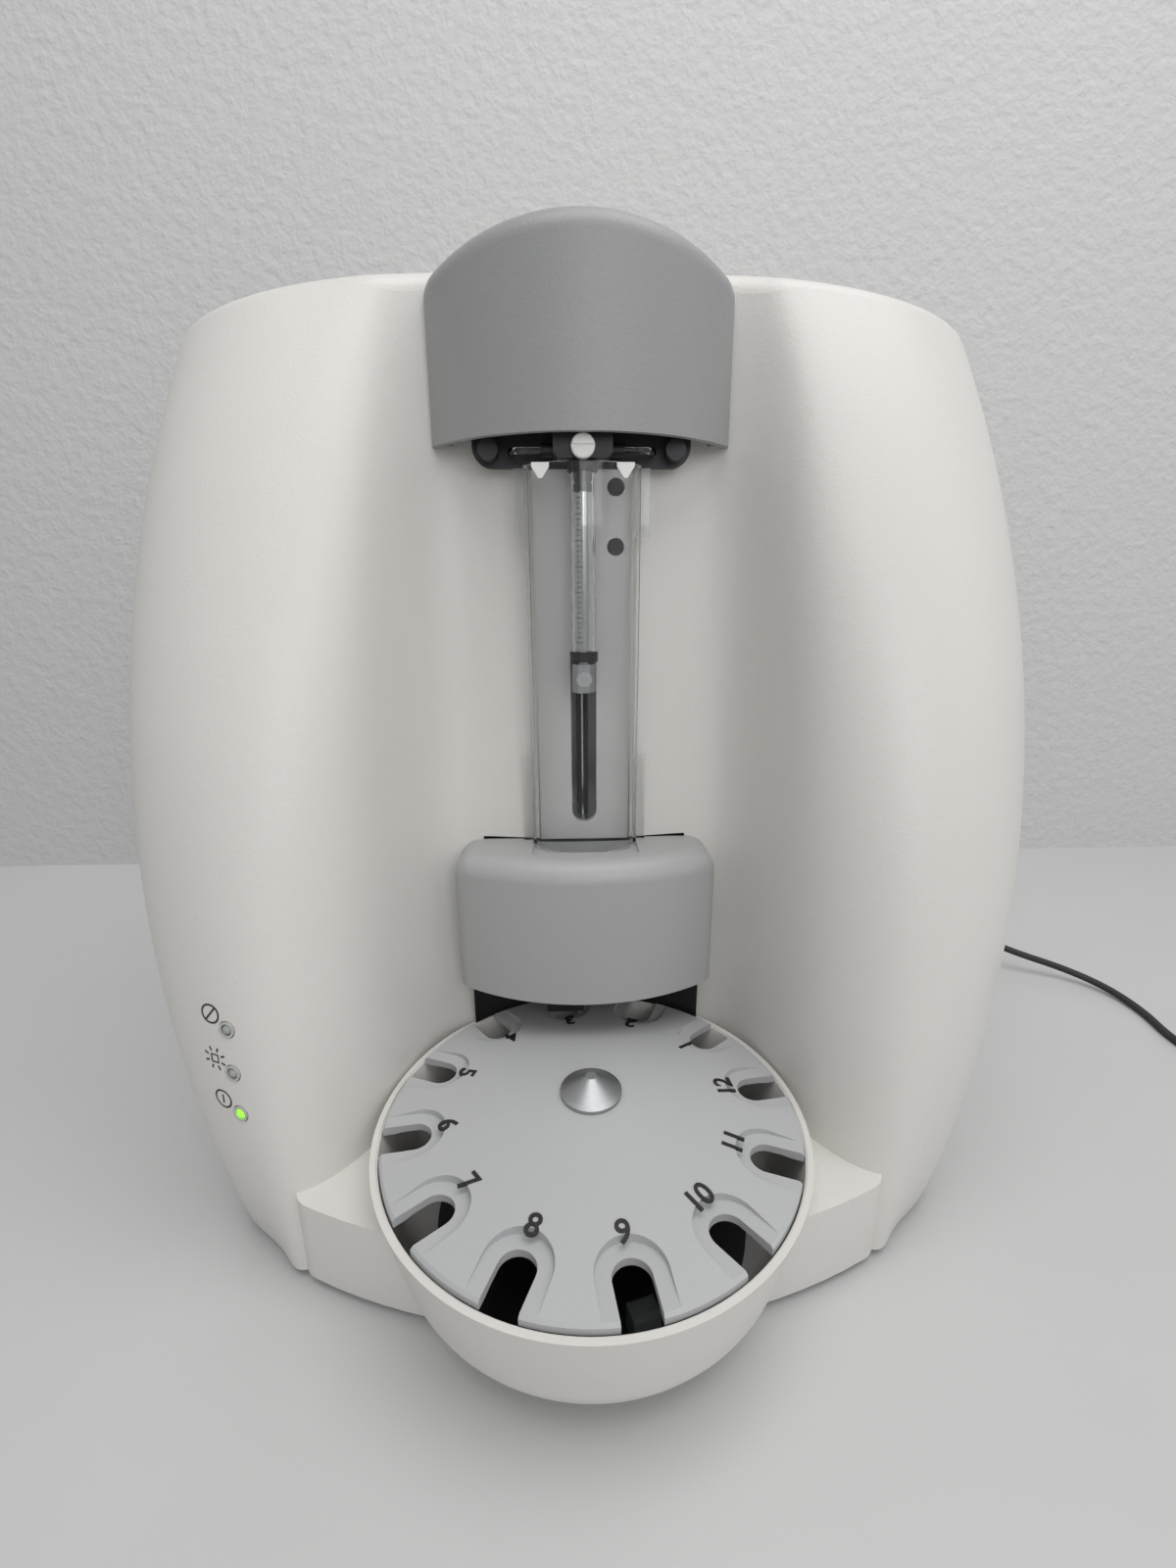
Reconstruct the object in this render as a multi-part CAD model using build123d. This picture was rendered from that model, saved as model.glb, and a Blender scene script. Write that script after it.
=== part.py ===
from build123d import *
import math
import os

# Automated cell counter: a bench instrument with a carousel of sample cups in front, a syringe
# pump in a clear channel above it, and the imaging bench, boards and supply inside the housing.
# Units are millimetres. X runs to the right, Y to the back, Z up. The origin is on the bench,
# under the middle of the housing.

os.makedirs("parts", exist_ok=True)

# ---------------------------------------------------------------- driving dimensions
body_width = 381.0
body_depth = 406.0
wall = 3.0                  # moulded housing wall
seam_y = 35.0               # where the front shell meets the rear cover
seam_gap = 0.4
rear_taper = 3.0            # draft of the rear cover, degrees
vent_count = 9
vent_pitch = 13.0
fit_gap = 0.3               # seat clearance between static pieces
run_gap = 0.05              # radial clearance of a shaft in its bush
plate_clearance = 3.0       # between the floor plate and the housing

foot_height = 5.0
foot_radius = 11.0
foot_x = 112.0
front_foot_y = -92.0
rear_foot_y = 168.0
shell_bottom = 4.0          # the housing's lower edge stands just above the bench
plate_thickness = 2.0       # folded and flat sheet metal

# sculpted front
side_radius = 740.0         # bulge of the sides, seen from the front
widest_z = 215.0
lean_radius = 750.0         # how the lobes lean back as they rise
crest_foot_y = -134.0
valley_radius = 3100.0
valley_top_y = -33.0
valley_half = 61.0
ridge_x = 98.0
ridge_draw_in = 20.0        # how far the ridges close in at the top
crest_run = 20.0
crown_front_z = 383.0
crown_shoulder_z = 369.0
crown_rise = 25.0           # rise of the crown from the front edge to the seam
top_round = 9.0

# base fascia and ledge
fascia_radius = 262.0
fascia_half = 115.0
fascia_front_y = -162.0
fascia_corner = 10.0
ledge_z = 40.0

# carousel
disc_radius = 82.5
disc_rim_z = 60.0           # top of the rim
disc_thickness = 3.5
disc_rise = 9.5
disc_flat_radius = 14.0
slot_count = 12
slot_width = 13.0
slot_centre_radius = 69.5
slot_phase = 8.4            # turn of one slot from straight ahead
pad_margin = 5.5
spindle_radius = 4.0
knob_radius = 12.3
knob_height = 8.0

# round tray
bowl_radius = 86.0
bowl_wall = 2.3
bowl_top_z = 57.5
bowl_mid_radius = 82.3
bowl_foot_radius = 78.5
bowl_foot_z = 24.0
bowl_bottom_z = 10.0
bowl_bottom_radius = 66.0
turret_radius = 36.0
turret_top_z = 50.0

# covers
upper_half = 61.5
upper_side_y = -37.0
upper_front_y = -67.0
upper_bottom_z = 320.0
upper_top_z = 392.5
upper_shoulder_z = 379.2
lower_half = 59.5
lower_side_y = -60.0
lower_front_y = -79.0
lower_bottom_z = 84.0
lower_top_z = 151.0
cover_wall = 2.8
cover_round = 9.0
cover_corner = 11.0

# channel and guard
plate_y = -42.0             # front face of the channel plate
channel_thickness = 3.0
channel_half = 20.5
channel_bottom_z = 150.0
guard_half = 23.5
guard_front_y = -62.5
guard_wall = 2.0
guard_lip = 4.5
guard_lip_low_z = 191.0
guard_lip_high_z = 284.0
port_radius = 3.6
port_x = 14.0
port_low_z = 280.7
port_high_z = 304.0

# syringe
syringe_y = -52.0
slot_low_z = 158.5
slot_high_z = 234.0
pump_slot_width = 11.4
barrel_radius = 5.1
barrel_bore = 3.9
barrel_low_z = 238.0
barrel_high_z = 308.0
collar_height = 4.0
rod_radius = 2.0
seal_height = 7.0
clamp_across = 8.6
clamp_height = 12.0
valve_half = 11.5
valve_height = 36.0
valve_depth = 15.0
valve_knob_radius = 4.6
valve_knob_z = 315.9

upper_back_y = -10.0
lower_back_y = -36.0
lower_crown = 2.0           # rise of the lower cover's top edge from side to middle
cover_lip = 9.0
guard_sink = 1.5
under_half = 44.5
under_low_z = 311.0
under_high_z = 376.0
under_thickness = 2.5
standoff_radius = 4.0
standoff_x = 37.5
standoff_z = 317.0
standoff_length = 7.0
boss_z = 350.0
valve_rotor_radius = 2.6
tube_radius = 1.2

# drives
bush_radius = 8.0
hub_radius = 10.0
hub_depth = 7.5
guide_radius = 2.5
guide_x = 10.0
nut_radius = 9.0
pump_low_z = 150.0
clamp_arm_half = 4.0
drive_y = -8.0              # axis of the syringe lead screw
screw_radius = 3.0
pump_half = 19.5
motor_side = 42.0
motor_height = 38.0
small_motor_side = 28.0
small_motor_height = 32.0
needle_radius = 1.0
needle_stroke = 42.0
needle_rest_z = 68.0
needle_length = 76.0
probe_arm_high_z = 141.0
probe_arm_height = 7.0
probe_arm_stop_gap = 1.0    # left under the arm when it is down
probe_guide_x = 6.0
probe_guide_radius = 3.0
pulley_radius = 7.0
pulley_x = 38.0
pulley_low_z = 98.0
pulley_high_z = 138.0
belt_thickness = 1.2
belt_width = 6.0
bracket_y = -33.0
bracket_high_z = 147.5

panel_lap = 5.0
vent_z = 110.0
vent_length = 60.0
vent_width = 4.0
service_half = 48.0         # opening behind the lower cover
valve_z = 340.0
valve_motor_radius = 10.0

pulley_shaft_radius = 2.0
needle_guide_gap = 6.0
sensor_turn = 17.0
sensor_reach = 55.0
upright_y = 14.0
upright_half = 132.0
upright_top_z = 345.0
board_half = 95.0
board_low_z = 150.0
board_height = 160.0
spacer_length = 8.0
optics_x = 5.0
optics_y = 110.0

# status lamps: X and Z of each on the left lobe
lamp_places = [(-134.0, 108.5), (-133.5, 91.0), (-132.5, 74.0)]
lamp_radius = 3.2
bezel_wall = 0.9

# back
panel_half = 130.0
panel_low_z = 22.0
panel_high_z = 318.0
fan_side = 80.0
fan_depth = 25.0
fan_x = 62.0
fan_z = 250.0
inlet_x = -92.0
inlet_z = 62.0
port_block_x = 84.0
port_block_z = 58.0

panel_thickness = 1.5
panel_recess = 11.0         # how deep the rear panel sits behind the cover's window
fan_bore = 37.5
fan_hub = 17.0
fan_blades = 7
fan_shaft_radius = 2.5
inlet_width = 30.0
inlet_height = 24.0
switch_z = 98.0
rocker_width = 13.0
rocker_radius = 9.0
rocker_pin_radius = 1.5
port_width = 14.0
port_height = 8.0
fitting_radius = 5.0
fitting_pitch = 26.0

# data lead
cord_diameter = 4.5
coil_x = 388.0
coil_y = -52.0
coil_mean_radius = 25.0
coil_section = 14.0
plug_reach = 42.7
connector_reach = 29.3      # from the rear panel to the end of the connector's relief
rocker_rest = 12.0

# ---------------------------------------------------------------- derived values
back_y = body_depth / 2
panel_back_y = back_y - wall - fit_gap - panel_recess
disc_seat_z = disc_rim_z + disc_rise
channel_top_z = under_low_z - fit_gap
guard_top_z = under_low_z - fit_gap
guard_bottom_z = lower_top_z - guard_sink + fit_gap
disc_y = -body_depth / 2 + bowl_radius
disc_bottom_z = disc_rim_z - disc_thickness
bracket_low_z = probe_arm_high_z - probe_arm_height - needle_stroke - plate_thickness - probe_arm_stop_gap
half_width = body_width / 2
base_low_z = foot_height
base_high_z = foot_height + plate_thickness
seam_margin = 9.0           # the sides still widen by this much behind the front corner


# ---------------------------------------------------------------- helpers
def block(x0, x1, y0, y1, z0, z1):
    """Box between two corners."""
    return Pos((x0 + x1) / 2, (y0 + y1) / 2, (z0 + z1) / 2) * Box(x1 - x0, y1 - y0, z1 - z0)


def post(radius, x, y, z0, z1):
    """Upright cylinder."""
    return Pos(x, y, (z0 + z1) / 2) * Cylinder(radius, z1 - z0)


def bar_y(radius, x, z, y0, y1):
    """Cylinder along Y."""
    return Pos(x, (y0 + y1) / 2, z) * Rot(90, 0, 0) * Cylinder(radius, y1 - y0)


def bar_x(radius, y, z, x0, x1):
    """Cylinder along X."""
    return Pos((x0 + x1) / 2, y, z) * Rot(0, 90, 0) * Cylinder(radius, x1 - x0)


def prism(edges, z0, z1):
    """Closed plan outline raised from z0 to z1."""
    return Pos(0, 0, z0) * extrude(make_face(edges), z1 - z0)


def save(shape, name):
    """Write one node."""
    shape.label = name
    export_step(shape, "parts/" + name + ".step")


def offset_line(points, inset):
    """Move each point of an open outline sideways by inset, to its left."""
    moved = []
    for index, point in enumerate(points):
        before = points[max(index - 1, 0)]
        after = points[min(index + 1, len(points) - 1)]
        run_x = after[0] - before[0]
        run_y = after[1] - before[1]
        length = math.hypot(run_x, run_y)
        moved.append((point[0] - inset * run_y / length, point[1] + inset * run_x / length))
    return moved


# ---------------------------------------------------------------- housing form
def side_x(height):
    """Half width of the housing at its seam."""
    return half_width - (height - widest_z) ** 2 / (2 * side_radius)


def crest_y(height):
    """Depth of the lobes' crests, which lean back as they rise."""
    return crest_foot_y + height ** 2 / (2 * lean_radius)


def valley_y(height):
    """Depth of the valley between the lobes."""
    return valley_top_y - (crown_front_z - height) ** 2 / (2 * valley_radius)


def plan_points(height, inset):
    """Plan section of the front at one height, from the right seam round to the left one."""
    crest = crest_y(height)
    valley = valley_y(height)
    shoulder_x = side_x(height) - seam_margin
    ridge = ridge_x - ridge_draw_in * (height / crown_front_z) ** 3
    right = [
        (shoulder_x + seam_margin, seam_y),
        (shoulder_x + seam_margin * 0.83, (seam_y + crest + 52) / 2),
        (shoulder_x + seam_margin * 0.5, crest + 52),
        (shoulder_x - 2.5, crest + 27),
        (shoulder_x - 27, crest + 6),
        (ridge + crest_run, crest),
        (ridge, valley + 0.84 * (crest - valley)),
        ((ridge + valley_half) / 2, valley + 0.36 * (crest - valley)),
        (valley_half, valley),
        (valley_half * 0.55, valley),
    ]
    left = [(-x, y) for x, y in reversed(right)]
    return offset_line(right + left, -inset)


def crown_points(inset):
    """Front view of the housing's top edge, from right to left."""
    corner = side_x(crown_shoulder_z) - seam_margin
    right = [
        (corner + 30, crown_shoulder_z - 65),
        (corner + 7, crown_shoulder_z - 25),
        (corner - 5, crown_shoulder_z - 8),
        (corner - 20, crown_shoulder_z),
        (corner * 0.66, crown_front_z - 4.5),
    ]
    left = [(-x, z) for x, z in reversed(right)]
    return offset_line(right + [(0, crown_front_z)] + left, inset)


def crown_form(inset, front, back):
    """Everything under the arched crown, which rises from the front edge to the seam."""
    points = crown_points(inset)
    slope = crown_rise / (seam_y - valley_top_y)
    lift = (front - valley_top_y) * slope
    arch = Spline([(x, front, z + lift) for x, z in points])
    first = arch @ 0
    last = arch @ 1
    foot = -crown_front_z
    legs = Polyline(last, (last.X, front, foot), (first.X, front, foot), first)
    face = make_face([arch, legs])
    return extrude(face, dir=Vector(0, 1, slope), amount=(back - front) * math.hypot(1, slope))


def lofted_front(inset, low, back):
    """The sculpted front between the lobes' plan sections."""
    sections = []
    for height in (low, 70, 140, 210, 280, 345, 415):
        points = plan_points(height, inset)
        points[0] = (points[0][0], back)
        points[-1] = (points[-1][0], back)
        front = Spline([(x, y, height) for x, y in points])
        rear = Line(front @ 1, front @ 0)
        sections.append(make_face([front, rear]))
    return loft(sections)


def front_form(inset, low, back):
    """Solid form of the front: lofted lobes and valley under the crown."""
    form = lofted_front(inset, low, back)
    crown = crown_form(inset, crest_foot_y - 40, back + 1)
    return form & crown


def fascia_form(inset, low):
    """Low curved base that carries the tray, with its flat ledge on top."""
    centre_y = fascia_front_y + fascia_radius
    reach = fascia_half - inset
    radius = fascia_radius - inset
    end_y = centre_y - math.sqrt(radius ** 2 - reach ** 2)
    arc = ThreePointArc((-reach, end_y), (0, centre_y - radius), (reach, end_y))
    rest = Polyline((reach, end_y), (reach, valley_top_y), (-reach, valley_top_y), (-reach, end_y))
    base = prism([arc, rest], low, ledge_z - inset)
    corners = base.edges().filter_by(Axis.Z).group_by(Axis.Y)[0]
    return fillet(corners, fascia_corner - inset)


def bowl_form(grow, bottom):
    """Solid of the tray's outside, grown for its wall or for its seat in the housing."""
    rim = (bowl_radius + grow, 0, bowl_top_z)
    middle = (bowl_mid_radius + grow, 0, ledge_z)
    foot = (bowl_foot_radius + grow, 0, bowl_foot_z)
    heel = (bowl_bottom_radius + grow, 0, bottom)
    side = Polyline(rim, middle, foot)
    slope = (foot[0] - middle[0], 0, foot[2] - middle[2])
    round_edge = TangentArc(foot, heel, tangent=slope)
    rest = Polyline(heel, (0, 0, bottom), (0, 0, bowl_top_z), rim)
    return Pos(0, disc_y, 0) * revolve(make_face([side, round_edge, rest]), Axis.Z)


def cover_plan(half, side_y, front_y, back, inset):
    """Plan outline of a D-shaped cover with a bowed front."""
    right = half - inset
    front = front_y + inset
    side = side_y + inset * 0.6
    bow = ThreePointArc((-right, side), (0, front), (right, side))
    rest = Polyline((right, side), (right, back), (-right, back), (-right, side))
    return [bow, rest]


def lamp_axis(x, z):
    """Place on the left lobe, with its Z along the surface normal."""
    centre, normal = lobe.find_intersection_points(Axis((x, -300, z), (0, 1, 0)))[0]
    return Plane(centre, z_dir=normal).location


def rear_outline(inset, depth):
    """Face of the rear cover's outline at one depth, drawn in by inset."""
    lift = crown_rise
    corner = side_x(crown_shoulder_z) - seam_margin
    right = [(side_x(height), height) for height in (shell_bottom, 60, 130, 200, 260)]
    right += [
        (side_x(crown_shoulder_z - 55), crown_shoulder_z - 55),
        (corner + 7, crown_shoulder_z - 18 + lift * 0.5),
        (corner - 3, crown_shoulder_z - 6 + lift * 0.8),
        (corner - 20, crown_shoulder_z + lift),
        (corner * 0.6, crown_front_z - 3.5 + lift),
    ]
    left = [(-x, z) for x, z in reversed(right)]
    points = offset_line(right + [(0, crown_front_z + lift)] + left, inset)
    edge = Spline([(x, depth, z) for x, z in points])
    first = edge @ 0
    last = edge @ 1
    legs = Polyline(last, (last.X, depth, -20), (first.X, depth, -20), first)
    return make_face([edge, legs])


def rear_form(inset, front, back, low):
    """Solid form of the rear cover: the seam outline drawn in towards the back."""
    draft = (back - front) * math.tan(math.radians(rear_taper))
    form = loft([rear_outline(inset, front), rear_outline(inset + draft, back)])
    return form & block(-half_width - 5, half_width + 5, front - 1, back + 1, low, crown_front_z * 2)


# ---------------------------------------------------------------- housing pieces
def front_shell():
    """Moulded front: two lobes, a valley, the ledge, and the openings for what it carries."""
    crown_edge = lobe.edges().filter_by(
        lambda edge: edge.center().Z > crown_shoulder_z and edge.center().Y < 0)
    outer = fillet(crown_edge, top_round) + fascia_form(0, shell_bottom)
    inner = front_form(wall, shell_bottom - 6, seam_y + 6) + fascia_form(wall, shell_bottom - 6)
    shell = outer - inner
    well = bowl_form(fit_gap, bowl_bottom_z - fit_gap)
    well += post(bowl_radius + fit_gap, 0, disc_y, bowl_top_z - 0.01, lower_bottom_z)
    channel = block(-channel_half - fit_gap, channel_half + fit_gap, valley_top_y - 40,
                    valley_top_y + 12, channel_bottom_z - fit_gap, channel_top_z + fit_gap)
    service = block(-service_half, service_half, valley_top_y - 40, valley_top_y + 12,
                    lower_bottom_z - 1, channel_bottom_z + 1)
    drive = bar_y(valve_motor_radius + 1, 0, valve_z, valley_top_y - 40, valley_top_y + 12)
    shell = shell - well - channel - service - drive
    for x, z in lamp_places:
        shell -= lamp_axis(x, z) * Cylinder(lamp_radius + fit_gap, 30)
    return shell


def rear_cover():
    """Moulded rear cover, open towards the seam and the base, with a window for the rear panel."""
    front = seam_y + seam_gap
    outer = rear_form(0, front, back_y, shell_bottom)
    cover = outer - rear_form(wall, front - 1, back_y - wall, shell_bottom - 5)
    window_half = panel_half - panel_lap
    cover -= block(-window_half, window_half, back_y - wall - 2, back_y + 2,
                   panel_low_z + panel_lap, panel_high_z - panel_lap)
    for index in range(vent_count):
        middle = (seam_y + back_y) / 2 + (index - (vent_count - 1) / 2) * vent_pitch
        slot = Pos(0, middle, vent_z) * Rot(0, 90, 0) * extrude(SlotOverall(vent_length, vent_width), 400)
        cover -= slot
        cover -= mirror(slot, Plane.YZ)
    return cover


def tray_bowl():
    """Round off-white tray around the carousel, tapered to a rounded foot."""
    outer = bowl_form(0, bowl_bottom_z)
    inner = Pos(0, 0, bowl_wall) * bowl_form(-bowl_wall, bowl_bottom_z)
    inner += post(bowl_radius - bowl_wall, 0, disc_y, bowl_top_z - 0.5, bowl_top_z + 5)
    return outer - inner


def tray_liner():
    """Dark inner tray with the turret that houses the carousel motor."""
    floor_z = bowl_bottom_z + bowl_wall
    radius = bowl_bottom_radius - bowl_wall
    liner = post(radius, 0, disc_y, floor_z, floor_z + 2)
    turret = post(turret_radius, 0, disc_y, floor_z, turret_top_z)
    turret = fillet(turret.edges().group_by(Axis.Z)[-1], 4)
    hollow = post(turret_radius - 2, 0, disc_y, floor_z - 1, turret_top_z - 2)
    bush = post(bush_radius, 0, disc_y, turret_top_z - 2, turret_top_z + 1.2)
    bore = post(spindle_radius + run_gap, 0, disc_y, floor_z, turret_top_z + 5)
    return liner + turret - hollow + bush - bore


def carousel_motor():
    """Stepper motor under the carousel, with a bore for its shaft."""
    floor_z = bowl_bottom_z + bowl_wall
    top = turret_top_z - 2
    body = block(-motor_side / 2, motor_side / 2, disc_y - motor_side / 2, disc_y + motor_side / 2,
                 floor_z, top - 4)
    body = chamfer(body.edges().filter_by(Axis.Z), 5)
    body += post(11, 0, disc_y, top - 4, top)
    return body - post(spindle_radius + run_gap, 0, disc_y, floor_z + 6, top + 1)


def carousel_spindle():
    """Shaft from the motor up to the knob."""
    shaft = post(spindle_radius, 0, disc_y, bowl_bottom_z + bowl_wall + 7, disc_seat_z)
    return shaft + post(spindle_radius + 2.5, 0, disc_y, turret_top_z + 1.5, disc_seat_z - hub_depth)


def slot_turn(index):
    """Turn of one carousel slot from straight ahead."""
    return slot_phase + index * 360 / slot_count


def carousel_disc():
    """Domed disc with a ring of open cup slots, each in its own flat recess."""
    low = disc_bottom_z
    rim = disc_rim_z
    top = disc_rim_z + disc_rise
    skin = disc_thickness
    profile = Polyline((0, 0, top), (disc_flat_radius, 0, top), (disc_radius - 1, 0, rim),
                       (disc_radius, 0, rim - 1), (disc_radius, 0, low),
                       (disc_radius - 4, 0, low), (disc_flat_radius, 0, top - skin),
                       (hub_radius, 0, top - skin), (hub_radius, 0, top - skin - 4), (0, 0, top - skin - 4),
                       (0, 0, top))
    disc = revolve(make_face(profile), Axis.Z)
    disc -= Pos(0, 0, top - skin - 4) * Cylinder(spindle_radius + fit_gap, 30)
    pad_radius = slot_width / 2 + pad_margin
    pad = Pos(0, -slot_centre_radius, rim + 10) * Cylinder(pad_radius, 20)
    pad += block(-pad_radius, pad_radius, -disc_radius - 5, -slot_centre_radius, rim, rim + 20)
    cut = Pos(0, -slot_centre_radius, rim) * Cylinder(slot_width / 2, 30)
    cut += block(-slot_width / 2, slot_width / 2, -disc_radius - 5, -slot_centre_radius, low - 5, rim + 5)
    floor = Pos(0, -slot_centre_radius, rim - 1.5) * Cylinder(pad_radius, 3)
    floor += block(-pad_radius, pad_radius, -disc_radius + 3, -slot_centre_radius, rim - 3, rim)
    for index in range(slot_count):
        turn = Rot(0, 0, slot_turn(index))
        disc = disc + turn * (floor & Cylinder(disc_radius - 2, 400))
        disc -= turn * pad
        disc -= turn * cut
    return Pos(0, disc_y, 0) * disc


def carousel_knob():
    """Turned aluminium retaining knob: a shallow cone on a flat flange."""
    base = disc_rim_z + disc_rise
    profile = Polyline((0, 0, base), (knob_radius, 0, base), (knob_radius, 0, base + 1.6),
                       (knob_radius * 0.86, 0, base + 2.4), (2.2, 0, base + knob_height),
                       (0, 0, base + knob_height), (0, 0, base))
    return Pos(0, disc_y, 0) * revolve(make_face(profile), Axis.Z)


def cover_form(half, side_y, front_y, low, shoulder, top, back, inset):
    """D-shaped solid with a bowed front and a rounded top, drawn in by inset all round."""
    side = half - inset
    high = shoulder - inset
    arch = ThreePointArc((-side, 0, high), (0, 0, top - inset), (side, 0, high))
    legs = Polyline((side, 0, high), (side, 0, low), (-side, 0, low), (-side, 0, high))
    view = make_face([arch, legs])
    view = fillet(view.vertices().group_by(Axis.Z)[1], cover_corner - inset)
    solid = prism(cover_plan(half, side_y, front_y, back, inset), low, top + 5)
    solid &= Pos(0, -150, 0) * extrude(view, dir=(0, 1, 0), amount=300)
    bow = solid.edges().filter_by(lambda edge: edge.center().Y < side_y and edge.center().Z > low + 25)
    bow = bow.filter_by(lambda edge: abs(edge.tangent_at(0.5).X) > 0.4)
    return fillet(bow, cover_round - inset)


def upper_cover():
    """Grey upper cover, seated over the crown and the valley."""
    sizes = (upper_half, upper_side_y, upper_front_y)
    outer = cover_form(*sizes, upper_bottom_z, upper_shoulder_z, upper_top_z, upper_back_y, 0)
    inner = cover_form(*sizes, upper_bottom_z - 5, upper_shoulder_z, upper_top_z, upper_back_y - 3, cover_wall)
    cover = outer - inner
    for side in (-1, 1):
        edge = side * upper_half
        reach = side * (upper_half - cover_lip)
        lip = block(min(edge, reach), max(edge, reach), upper_side_y - 1.5, upper_side_y + 1.3,
                    upper_bottom_z, upper_bottom_z + 3)
        cover += lip & outer
    return cover - housing_clearance


def lower_cover():
    """Grey lower cover over the probe drive, seated in the valley."""
    sizes = (lower_half, lower_side_y, lower_front_y)
    shoulder = lower_top_z - lower_crown
    outer = cover_form(*sizes, lower_bottom_z, shoulder, lower_top_z, lower_back_y, 0)
    inner = cover_form(*sizes, lower_bottom_z - 5, shoulder, lower_top_z, lower_back_y + 5, cover_wall)
    cover = outer - inner - housing_clearance
    guard_seat = block(-guard_half - fit_gap, guard_half + fit_gap, guard_front_y - fit_gap, lower_back_y,
                       lower_top_z - guard_sink, lower_top_z + 5)
    reach = guard_half + guard_lip + fit_gap
    guard_seat += block(-reach, reach, plate_y - guard_wall - 2 * fit_gap, lower_back_y,
                        lower_top_z - guard_sink, lower_top_z + 5)
    return cover - guard_seat


def guard_plan(half, front, back):
    """Half-round plan outline of the clear guard."""
    bow = ThreePointArc((-half, front + half * 0.5), (0, front), (half, front + half * 0.5))
    rest = Polyline((half, front + half * 0.5), (half, back), (-half, back), (-half, front + half * 0.5))
    return [bow, rest]


def clear_guard():
    """Clear half tube in front of the syringe, with a lip along each side at both ends."""
    back = plate_y - fit_gap
    guard = prism(guard_plan(guard_half, guard_front_y, back), guard_bottom_z, guard_top_z)
    guard -= prism(guard_plan(guard_half - guard_wall, guard_front_y + guard_wall, back + 5),
                   guard_bottom_z - 1, guard_top_z + 1)
    for low, high in ((guard_bottom_z, guard_lip_low_z), (guard_lip_high_z, guard_top_z)):
        for side in (-1, 1):
            near = side * (guard_half - guard_wall)
            far = side * (guard_half + guard_lip)
            guard += block(min(near, far), max(near, far), back - guard_wall, back, low, high)
    return guard - housing_clearance


def channel_plate():
    """Satin grey plate behind the guard, with the pump slot and two access ports."""
    plate = block(-channel_half, channel_half, plate_y, plate_y + channel_thickness, channel_bottom_z,
                  channel_top_z)
    slot_length = slot_high_z - slot_low_z
    middle = (slot_low_z + slot_high_z) / 2
    slot = Pos(0, plate_y - 1, middle) * Rot(90, 0, 0) * Rot(0, 0, 90) * extrude(
        SlotOverall(slot_length, pump_slot_width), -channel_thickness - 4)
    slot += block(-pump_slot_width / 2, pump_slot_width / 2, plate_y - 1, plate_y + 5, middle, slot_high_z)
    plate -= slot
    for height in (port_low_z, port_high_z):
        plate -= bar_y(port_radius, port_x, height, plate_y - 5, plate_y + 9)
    return plate


def under_plate():
    """Dark mounting plate under the upper cover, with rounded lower corners and two standoffs."""
    half = under_half
    low = under_low_z
    outline = Pos(0, (low + under_high_z) / 2) * RectangleRounded(half * 2, under_high_z - low, 8)
    plate = Pos(0, plate_y, 0) * Rot(90, 0, 0) * extrude(outline, -under_thickness)
    for side in (-1, 1):
        plate += bar_y(standoff_radius, side * standoff_x, standoff_z, plate_y - standoff_length, plate_y + 1)
        plate += bar_y(standoff_radius, side * standoff_x, boss_z, plate_y + 1, valley_y(boss_z) - fit_gap)
    return plate - bar_y(valve_motor_radius * 0.5, 0, valve_z, plate_y - 9, plate_y + 9)


def valve_body():
    """Distribution valve above the barrel, with a bore for its rotor."""
    front = syringe_y - valve_depth / 2
    back = plate_y
    low = barrel_high_z + collar_height
    body = block(-valve_half, valve_half, front, back, low, low + valve_height)
    body = chamfer(body.edges().filter_by(Axis.Y), 2)
    body -= bar_y(valve_rotor_radius + run_gap, 0, valve_knob_z, front - 1, front + 9)
    for side in (-1, 1):
        start = min(side * valve_half, side * (valve_half + 5))
        body += bar_x(2.6, syringe_y, valve_knob_z, start, start + 5)
    return body


def valve_rotor():
    """White rotor knob on the front of the valve."""
    front = syringe_y - valve_depth / 2
    knob = bar_y(valve_knob_radius, 0, valve_knob_z, front - 3, front - 0.3)
    knob = fillet(knob.edges().group_by(Axis.Y)[0], 0.8)
    knob += bar_y(valve_rotor_radius, 0, valve_knob_z, front - 0.3, front + 8)
    return knob - block(-valve_knob_radius, valve_knob_radius, front - 4, front - 2.4,
                        valve_knob_z - 0.5, valve_knob_z + 0.5)


def valve_motor():
    """Small geared motor that turns the valve from behind the plate."""
    back = plate_y + under_thickness
    start = plate_y
    motor = bar_y(valve_motor_radius, 0, valve_z, back, back + 24)
    return motor + bar_y(valve_motor_radius * 0.5 - fit_gap, 0, valve_z, start, back)


def valve_tubing():
    """Two short clear tubes from the valve's sides to the dark plate."""
    tubes = None
    start_x = valve_half + 5
    end_x = start_x + 12
    end_y = plate_y
    for side in (-1, 1):
        path = FilletPolyline((side * start_x, syringe_y, valve_knob_z),
                              (side * end_x, syringe_y, valve_knob_z),
                              (side * end_x, end_y, valve_knob_z), radius=4)
        tube = sweep(Plane(path @ 0, z_dir=path % 0) * Circle(tube_radius), path)
        tubes = tube if tubes is None else tubes + tube
    return tubes


# ---------------------------------------------------------------- syringe pump
def barrel():
    """Glass barrel of the syringe."""
    tube = post(barrel_radius, 0, syringe_y, barrel_low_z, barrel_high_z)
    return tube - post(barrel_bore, 0, syringe_y, barrel_low_z - 1, barrel_high_z + 1)


def barrel_collars():
    """Two black collars on the ends of the barrel, bored for the rod."""
    pair = post(barrel_radius + 0.8, 0, syringe_y, barrel_low_z - collar_height, barrel_low_z)
    pair += post(barrel_radius + 0.8, 0, syringe_y, barrel_high_z, barrel_high_z + collar_height)
    return pair - post(rod_radius + 0.6, 0, syringe_y, barrel_low_z - 10, barrel_high_z + 10)


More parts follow.
